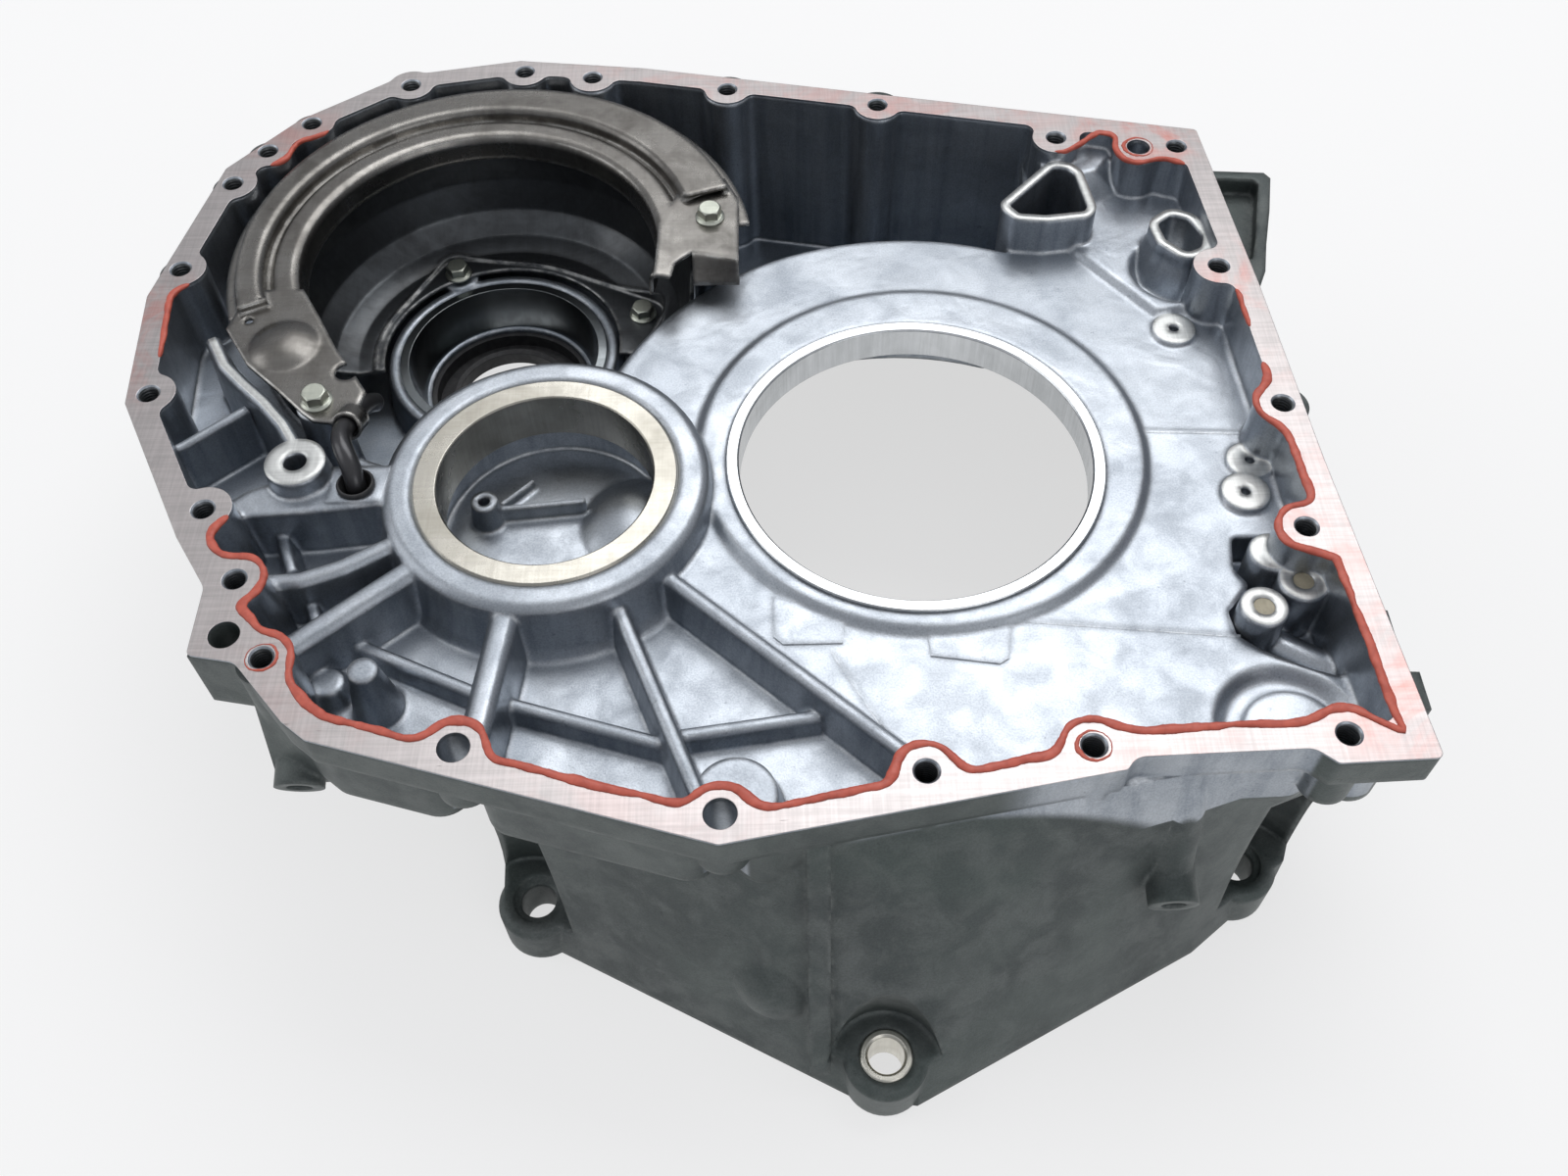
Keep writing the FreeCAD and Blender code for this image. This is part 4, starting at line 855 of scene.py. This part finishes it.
@dataclass
class SealantRings:
    """Thin rings of sealant on the flange face, round three of its holes."""

    places: tuple
    outline: FlangeOutline

    def build(self, name: str, finish: bpy.types.Material) -> bpy.types.Object:
        """Makes the rings as one piece.

        Each ring is r(t) = R + a * waves(t), with a lens section of half width w / 2 * (0.25 + 0.75 * |cos((t - t0)
        / 2)|^3) so that it is thick on one side and thin on the other.

        Args:
            name: Its name.
            finish: Its material.

        Returns:
            The piece.
        """
        rows, cols = 96, 10
        t = np.linspace(0.0, 2.0 * np.pi, rows, endpoint=False)[:, None]
        v = np.linspace(0.0, 2.0 * np.pi, cols, endpoint=False)[None, :]
        points, faces = [], []
        for k, (x, y, radius, width, way) in enumerate(self.places):
            thick = 0.25 + 0.75 * np.abs(np.cos((t - math.radians(way)) / 2.0)) ** 3
            thick = thick * (1.0 + 0.3 * waves(t * radius, k + 0.7, 9.0))
            r = radius + 0.25 * waves(t * radius, k * 1.9, 13.0) + width * thick / 2.0 * np.cos(v)
            z = self.outline.face + 0.02 + 0.38 * thick * np.sin(v)
            ring = np.stack([x + r * np.cos(t), y + r * np.sin(t), z], -1)
            points.append(ring.reshape(-1, 3))
            faces.append(grid_faces(rows, cols, True, True, k * rows * cols))
        made = make_mesh(name, np.concatenate(points) * MM, np.concatenate(faces), finish)
        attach(made, "root")
        return made


@dataclass
class SealantSqueeze:
    """Sealant squeezed out over the outer edge of the flange and smeared down its side."""

    start: tuple[float, float]
    end: tuple[float, float]
    reach: float
    depth: float
    seed: float

    def build(self, name: str, finish: bpy.types.Material, top: float) -> bpy.types.Object:
        """Makes a lumpy strip that lies over the edge.

        For u along the edge and a closed section angle t, the section is an ellipse of half height
        h(u) = depth * (1 + waves) * sqrt(1 - (2u - 1)^6) / 2 and half thickness b(u) = reach * (1 + waves) / 2,
        centred just below the flange face.

        Args:
            name: Its name.
            finish: Its material.
            top: Height of the flange face in mm.

        Returns:
            The strip.
        """
        a, b = np.array(self.start, float), np.array(self.end, float)
        length = float(np.linalg.norm(b - a))
        rows, cols = max(int(length / 0.8), 10), 12
        u = np.linspace(0.0, 1.0, rows)[:, None]
        t = np.linspace(0.0, 2.0 * np.pi, cols, endpoint=False)[None, :]
        s = u * length
        along = (b - a) / length
        out = np.array([along[1], -along[0]])
        ends = np.sqrt(np.clip(1.0 - (2.0 * u - 1.0) ** 6, 0.0, 1.0)) * 0.99 + 0.01
        half = self.depth / 2.0 * (1.0 + 0.45 * waves(s, self.seed, 19.0)) * ends
        thick = self.reach / 2.0 * (1.0 + 0.4 * waves(s, self.seed + 2.0, 11.0)) * ends
        shift = 0.5 * waves(s, self.seed + 4.0, 27.0)
        side = thick * np.cos(t) + 0.15 * thick + shift * 0.3
        z = top - self.depth * 0.32 + half * np.sin(t) * (1.0 + 0.1 * waves(s + 9.0 * t, self.seed, 5.0))
        xy = a + along * s[..., None] + out * side[..., None]
        points = np.concatenate([xy, z[..., None]], -1)
        made = make_mesh(name, points.reshape(-1, 3) * MM, grid_faces(rows, cols, False, True), finish)
        close_tube(made, rows, cols)
        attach(made, "root")
        return made


def close_tube(made: bpy.types.Object, rows: int, cols: int) -> None:
    """Closes both ends of an open tube with one face each and turns its faces outwards.

    Args:
        made: The tube.
        rows: Its number of sections.
        cols: Points in a section.
    """
    import bmesh

    mesh = bmesh.new()
    mesh.from_mesh(made.data)
    mesh.verts.ensure_lookup_table()
    mesh.faces.new([mesh.verts[k] for k in range(cols)])
    mesh.faces.new([mesh.verts[(rows - 1) * cols + k] for k in range(cols)][::-1])
    bmesh.ops.recalc_face_normals(mesh, faces=mesh.faces)
    mesh.to_mesh(made.data)
    mesh.free()


@dataclass
class CutThreads:
    """Threads cut in the flange holes."""

    outline: FlangeOutline
    core: float = 3.45
    depth: float = 0.42
    pitch: float = 1.25
    length: float = 12.0
    wall: float = 0.25

    def build(self, name: str, finish: bpy.types.Material) -> bpy.types.Object:
        """Makes all the threads as one piece of thin threaded sleeves.

        The inner face is r(t, z) = core + depth * (0.4 - |2 f - 1|), with f the fraction of z / pitch - t / 2 pi.
        The outer face is a plain cylinder, and the two join at the ends.

        Args:
            name: Its name.
            finish: Its material.

        Returns:
            The piece.
        """
        cols, rows = 28, int(self.length / self.pitch * 6) + 1
        t = np.linspace(0.0, 2.0 * np.pi, cols, endpoint=False)[None, :]
        z = np.linspace(0.0, -self.length, rows)[:, None]
        part = (z / self.pitch - t / (2.0 * np.pi)) % 1.0
        r = self.core + 0.0 * t - self.depth * np.abs(2.0 * part - 1.0) + self.depth * 0.4
        outer = np.full((2, cols), self.core + self.depth * 0.4 + self.wall)
        r = np.concatenate([r, outer[:1], outer[1:]])
        zz = np.concatenate([np.broadcast_to(z, (rows, cols)), np.full((1, cols), -self.length),
                             np.zeros((1, cols))])
        tt = np.broadcast_to(t, zz.shape)
        shell = np.stack([r * np.cos(tt), r * np.sin(tt), zz], -1).reshape(-1, 3)
        holes = np.array(self.outline.tapped, float)
        centres = np.concatenate([holes, np.full((len(holes), 1), self.outline.face - 0.9)], 1)
        points = (shell[None] + centres[:, None]).reshape(-1, 3)
        one = grid_faces(rows + 2, cols, True, True)
        faces = (one[None] + (np.arange(len(holes)) * len(shell))[:, None, None]).reshape(-1, 4)
        made = make_mesh(name, points * MM, faces, finish)
        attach(made, "root")
        return made


# ---------------------------------------------------------------- studio
@dataclass
class Studio:
    """Pale floor, soft light and the camera."""

    eye: Colour = (-46.3 * MM, -329.9 * MM, 385.3 * MM)
    aim: Colour = (-46.3 * MM, -67.1 * MM, 20.0 * MM)
    roll: float = -1.27
    lens: float = 33.4
    floor_size: float = 8.0

    def camera(self) -> None:
        """Sets the camera at its place."""
        data = bpy.data.cameras.new("camera")
        data.lens, data.sensor_width = self.lens, 36.0
        data.clip_start, data.clip_end = 0.01, 50.0
        made = bpy.data.objects.new("camera", data)
        eye, aim = Vector(self.eye), Vector(self.aim)
        turn = (aim - eye).to_track_quat("-Z", "Y").to_matrix().to_4x4()
        made.matrix_world = Matrix.Translation(eye) @ turn @ Matrix.Rotation(math.radians(self.roll), 4, "Z")
        bpy.context.collection.objects.link(made)
        bpy.context.scene.camera = made

    def floor(self, height: float) -> None:
        """Lays the floor.

        Args:
            height: Its height in metres.
        """
        made, g, shader = material("pale_floor")
        shader.inputs["Base Color"].default_value = (0.86, 0.86, 0.865, 1.0)
        shader.inputs["Roughness"].default_value = 0.9
        shader.inputs["Specular IOR Level"].default_value = 0.1
        glow = g.add("ShaderNodeEmission", {"Color": (1.0, 1.0, 1.0), "Strength": 1.0})
        path = g.add("ShaderNodeLightPath").outputs
        seen = g.math("MAXIMUM", path["Is Camera Ray"], g.math("MAXIMUM", path["Is Glossy Ray"],
                                                               path["Is Transmission Ray"]))
        both = g.add("ShaderNodeMixShader", {0: g.math("MULTIPLY", seen, 0.66)})
        g.plug(both.inputs[1], shader.outputs[0])
        g.plug(both.inputs[2], glow.outputs[0])
        out = next(n for n in made.node_tree.nodes if n.type == "OUTPUT_MATERIAL")
        g.plug(out.inputs["Surface"], both.outputs[0])
        half = self.floor_size / 2.0
        corners = np.array([(-half, -half, height), (half, -half, height), (half, half, height),
                            (-half, half, height)])
        plane = make_mesh("floor", corners, np.array([[0, 1, 2, 3]]), made, smooth=False)
        plane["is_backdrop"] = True

    def lamp(self, name: str, place: Colour, aim: Colour, size: tuple[float, float], power: float) -> None:
        """Hangs one soft box.

        Args:
            name: Its name.
            place: Where it hangs.
            aim: What it points at.
            size: Its sides in metres.
            power: Watts.
        """
        data = bpy.data.lights.new(name, "AREA")
        data.shape, data.size, data.size_y, data.energy = "RECTANGLE", size[0], size[1], power
        made = bpy.data.objects.new(name, data)
        at = Vector(place)
        made.matrix_world = Matrix.Translation(at) @ (Vector(aim) - at).to_track_quat("-Z", "Y").to_matrix().to_4x4()
        bpy.context.collection.objects.link(made)

    def light(self) -> None:
        """Hangs the lamps and sets the sky: grey at the horizon, paler overhead."""
        centre = (-0.05, 0.02, 0.0)
        self.lamp("overhead softbox", (0.25, 0.95, 1.55), centre, (1.7, 1.1), 17.0)
        self.lamp("side softbox", (-1.6, 0.1, 0.9), centre, (1.0, 1.2), 5.0)
        self.lamp("front softbox", (0.9, -1.5, 0.8), centre, (1.2, 0.8), 4.0)
        world = bpy.data.worlds.new("studio sky")
        bpy.context.scene.world = world
        world.use_nodes = True
        g = Graph(world.node_tree)
        up = g.split(g.add("ShaderNodeTexCoord").outputs["Generated"])[2]
        sky = g.mix(g.ramp(up, -0.05, 0.95), (0.20, 0.21, 0.23), (0.58, 0.59, 0.61))
        seen = g.add("ShaderNodeLightPath").outputs["Is Camera Ray"]
        back = next(n for n in world.node_tree.nodes if n.type == "BACKGROUND")
        g.plug(back.inputs["Color"], g.mix(seen, sky, (1.0, 1.0, 1.0)))


# ---------------------------------------------------------------- the housing
STEELS = {
    "ground": SteelFinish("ground_sleeve_steel", (0.66, 0.68, 0.70), (0.42, 0.44, 0.45), 0.20, 0.34, 0.3),
    "race": SteelFinish("bearing_race_steel", (0.42, 0.405, 0.365), (0.25, 0.235, 0.20), 0.24, 0.38, 0.4, seed=3.2),
    "dark_race": SteelFinish("oiled_race_steel", (0.20, 0.22, 0.23), (0.09, 0.10, 0.11), 0.16, 0.3, 0.5,
                             coat=0.4, seed=5.2),
    "baffle": SteelFinish("pressed_baffle_steel", (0.255, 0.245, 0.23), (0.10, 0.094, 0.086), 0.22, 0.38, 0.6,
                          coat=0.3, round_edge=2.6 * MM, grain=0.04, seed=0.6),
    "bowl": SteelFinish("oiled_bowl_steel", (0.085, 0.092, 0.10), (0.035, 0.037, 0.04), 0.30, 0.48, 0.6,
                        metallic=0.85, coat=0.3, round_edge=2.5 * MM, grain=0.03, seed=7.7),
    "zinc": SteelFinish("zinc_plated_screw", (0.60, 0.62, 0.54), (0.34, 0.36, 0.32), 0.30, 0.42, 0.5, seed=2.4),
    "bush": SteelFinish("dowel_bush_steel", (0.80, 0.78, 0.70), (0.52, 0.49, 0.42), 0.26, 0.4, 0.4, seed=4.4),
    "pipe": SteelFinish("dark_oil_pipe", (0.055, 0.055, 0.06), (0.02, 0.02, 0.02), 0.30, 0.5, 0.6,
                        metallic=0.7, coat=0.3, seed=8.8),
    "thread": SteelFinish("cut_thread", (0.20, 0.21, 0.22), (0.08, 0.08, 0.085), 0.38, 0.55, 0.6, seed=9.1),
}


@dataclass
class GearboxHousing:
    """The whole housing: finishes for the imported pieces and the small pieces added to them."""

    outline: FlangeOutline = field(default_factory=FlangeOutline)
    effects: Effects = field(default_factory=Effects)

    def dress(self) -> None:
        """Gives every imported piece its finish."""
        cast = CastFinish().build(self.effects, self.outline)
        steel = {key: finish.build(self.effects) for key, finish in STEELS.items()}
        rubber = SoftFinish("black_rubber", (0.018, 0.018, 0.02), (0.04, 0.04, 0.042), 0.55).build(self.effects)
        resin = SoftFinish("plug_resin", (0.42, 0.38, 0.28), (0.30, 0.27, 0.2), 0.5).build(self.effects)
        worn_by = {
            "housing_casting": cast, "main_bore_sleeve": steel["ground"], "layshaft_race": steel["race"],
            "diff_race": steel["dark_race"], "diff_oil_seal": rubber, "upper_baffle": steel["baffle"],
            "bowl_baffle": steel["bowl"], "oil_pipe": steel["pipe"], "pipe_grommet": rubber,
            "dowel_bush": steel["bush"], "gallery_plug_a": resin, "gallery_plug_b": resin,
        }
        for name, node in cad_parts.items():
            finish = steel["zinc"] if name.startswith("screw_") else worn_by.get(name)
            if finish is None:
                continue
            node.data.materials.clear()
            node.data.materials.append(finish)
            log.info("dressed %s in %s", name, finish.name)
        self.thread = steel["thread"]

    def add_sealant(self) -> None:
        """Adds the sealant beads and rings."""
        red = SoftFinish("red_sealant", (0.56, 0.115, 0.075), (0.42, 0.075, 0.05), 0.46, 1.2).build(self.effects)
        runs = (
            SealantRun("sealant_bead_front", "sealant_front", 200.5, 0.0, 2.7, 0.3),
            SealantRun("sealant_bead_right", "sealant_right", 5.0, 11.0, 1.8, 1.7),
            SealantRun("sealant_bead_back_right", "sealant_back_right", 30.0, 41.0, 2.2, 2.9),
            SealantRun("sealant_bead_left", "sealant_left", 165.0, 176.0, 2.2, 4.1),
            SealantRun("sealant_bead_back_left", "sealant_back_left", 138.0, 146.0, 2.2, 5.3),
        )
        sealant = Sealant(self.outline, runs)
        for run in runs:
            made = sealant.bead(run, red)
            log.info("%s: %d faces", run.name, len(made.data.polygons))
        rings = SealantRings(((41.5, -125.0, 4.9, 1.5, 200.0), (-204.0, -88.5, 4.8, 1.1, 330.0),
                              (97.0, 143.0, 5.6, 1.6, 180.0)), self.outline)
        log.info("sealant rings: %d faces", len(rings.build("sealant_rings", red).data.polygons))

    def add_threads(self) -> None:
        """Adds the threads in the flange holes."""
        made = CutThreads(self.outline).build("flange_threads", self.thread)
        log.info("flange_threads: %d faces", len(made.data.polygons))


def main() -> None:
    """Builds the scene in order."""
    logging.basicConfig(level=logging.INFO, format="%(name)s: %(message)s")
    cad_box = [list(corner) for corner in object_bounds()]
    bpy.context.scene.view_settings.view_transform = "Standard"
    studio = Studio()
    studio.camera()
    studio.light()
    housing = GearboxHousing()
    housing.dress()
    housing.add_sealant()
    housing.add_threads()
    studio.floor(cad_box[0][2])


if __name__ == "__main__":
    main()
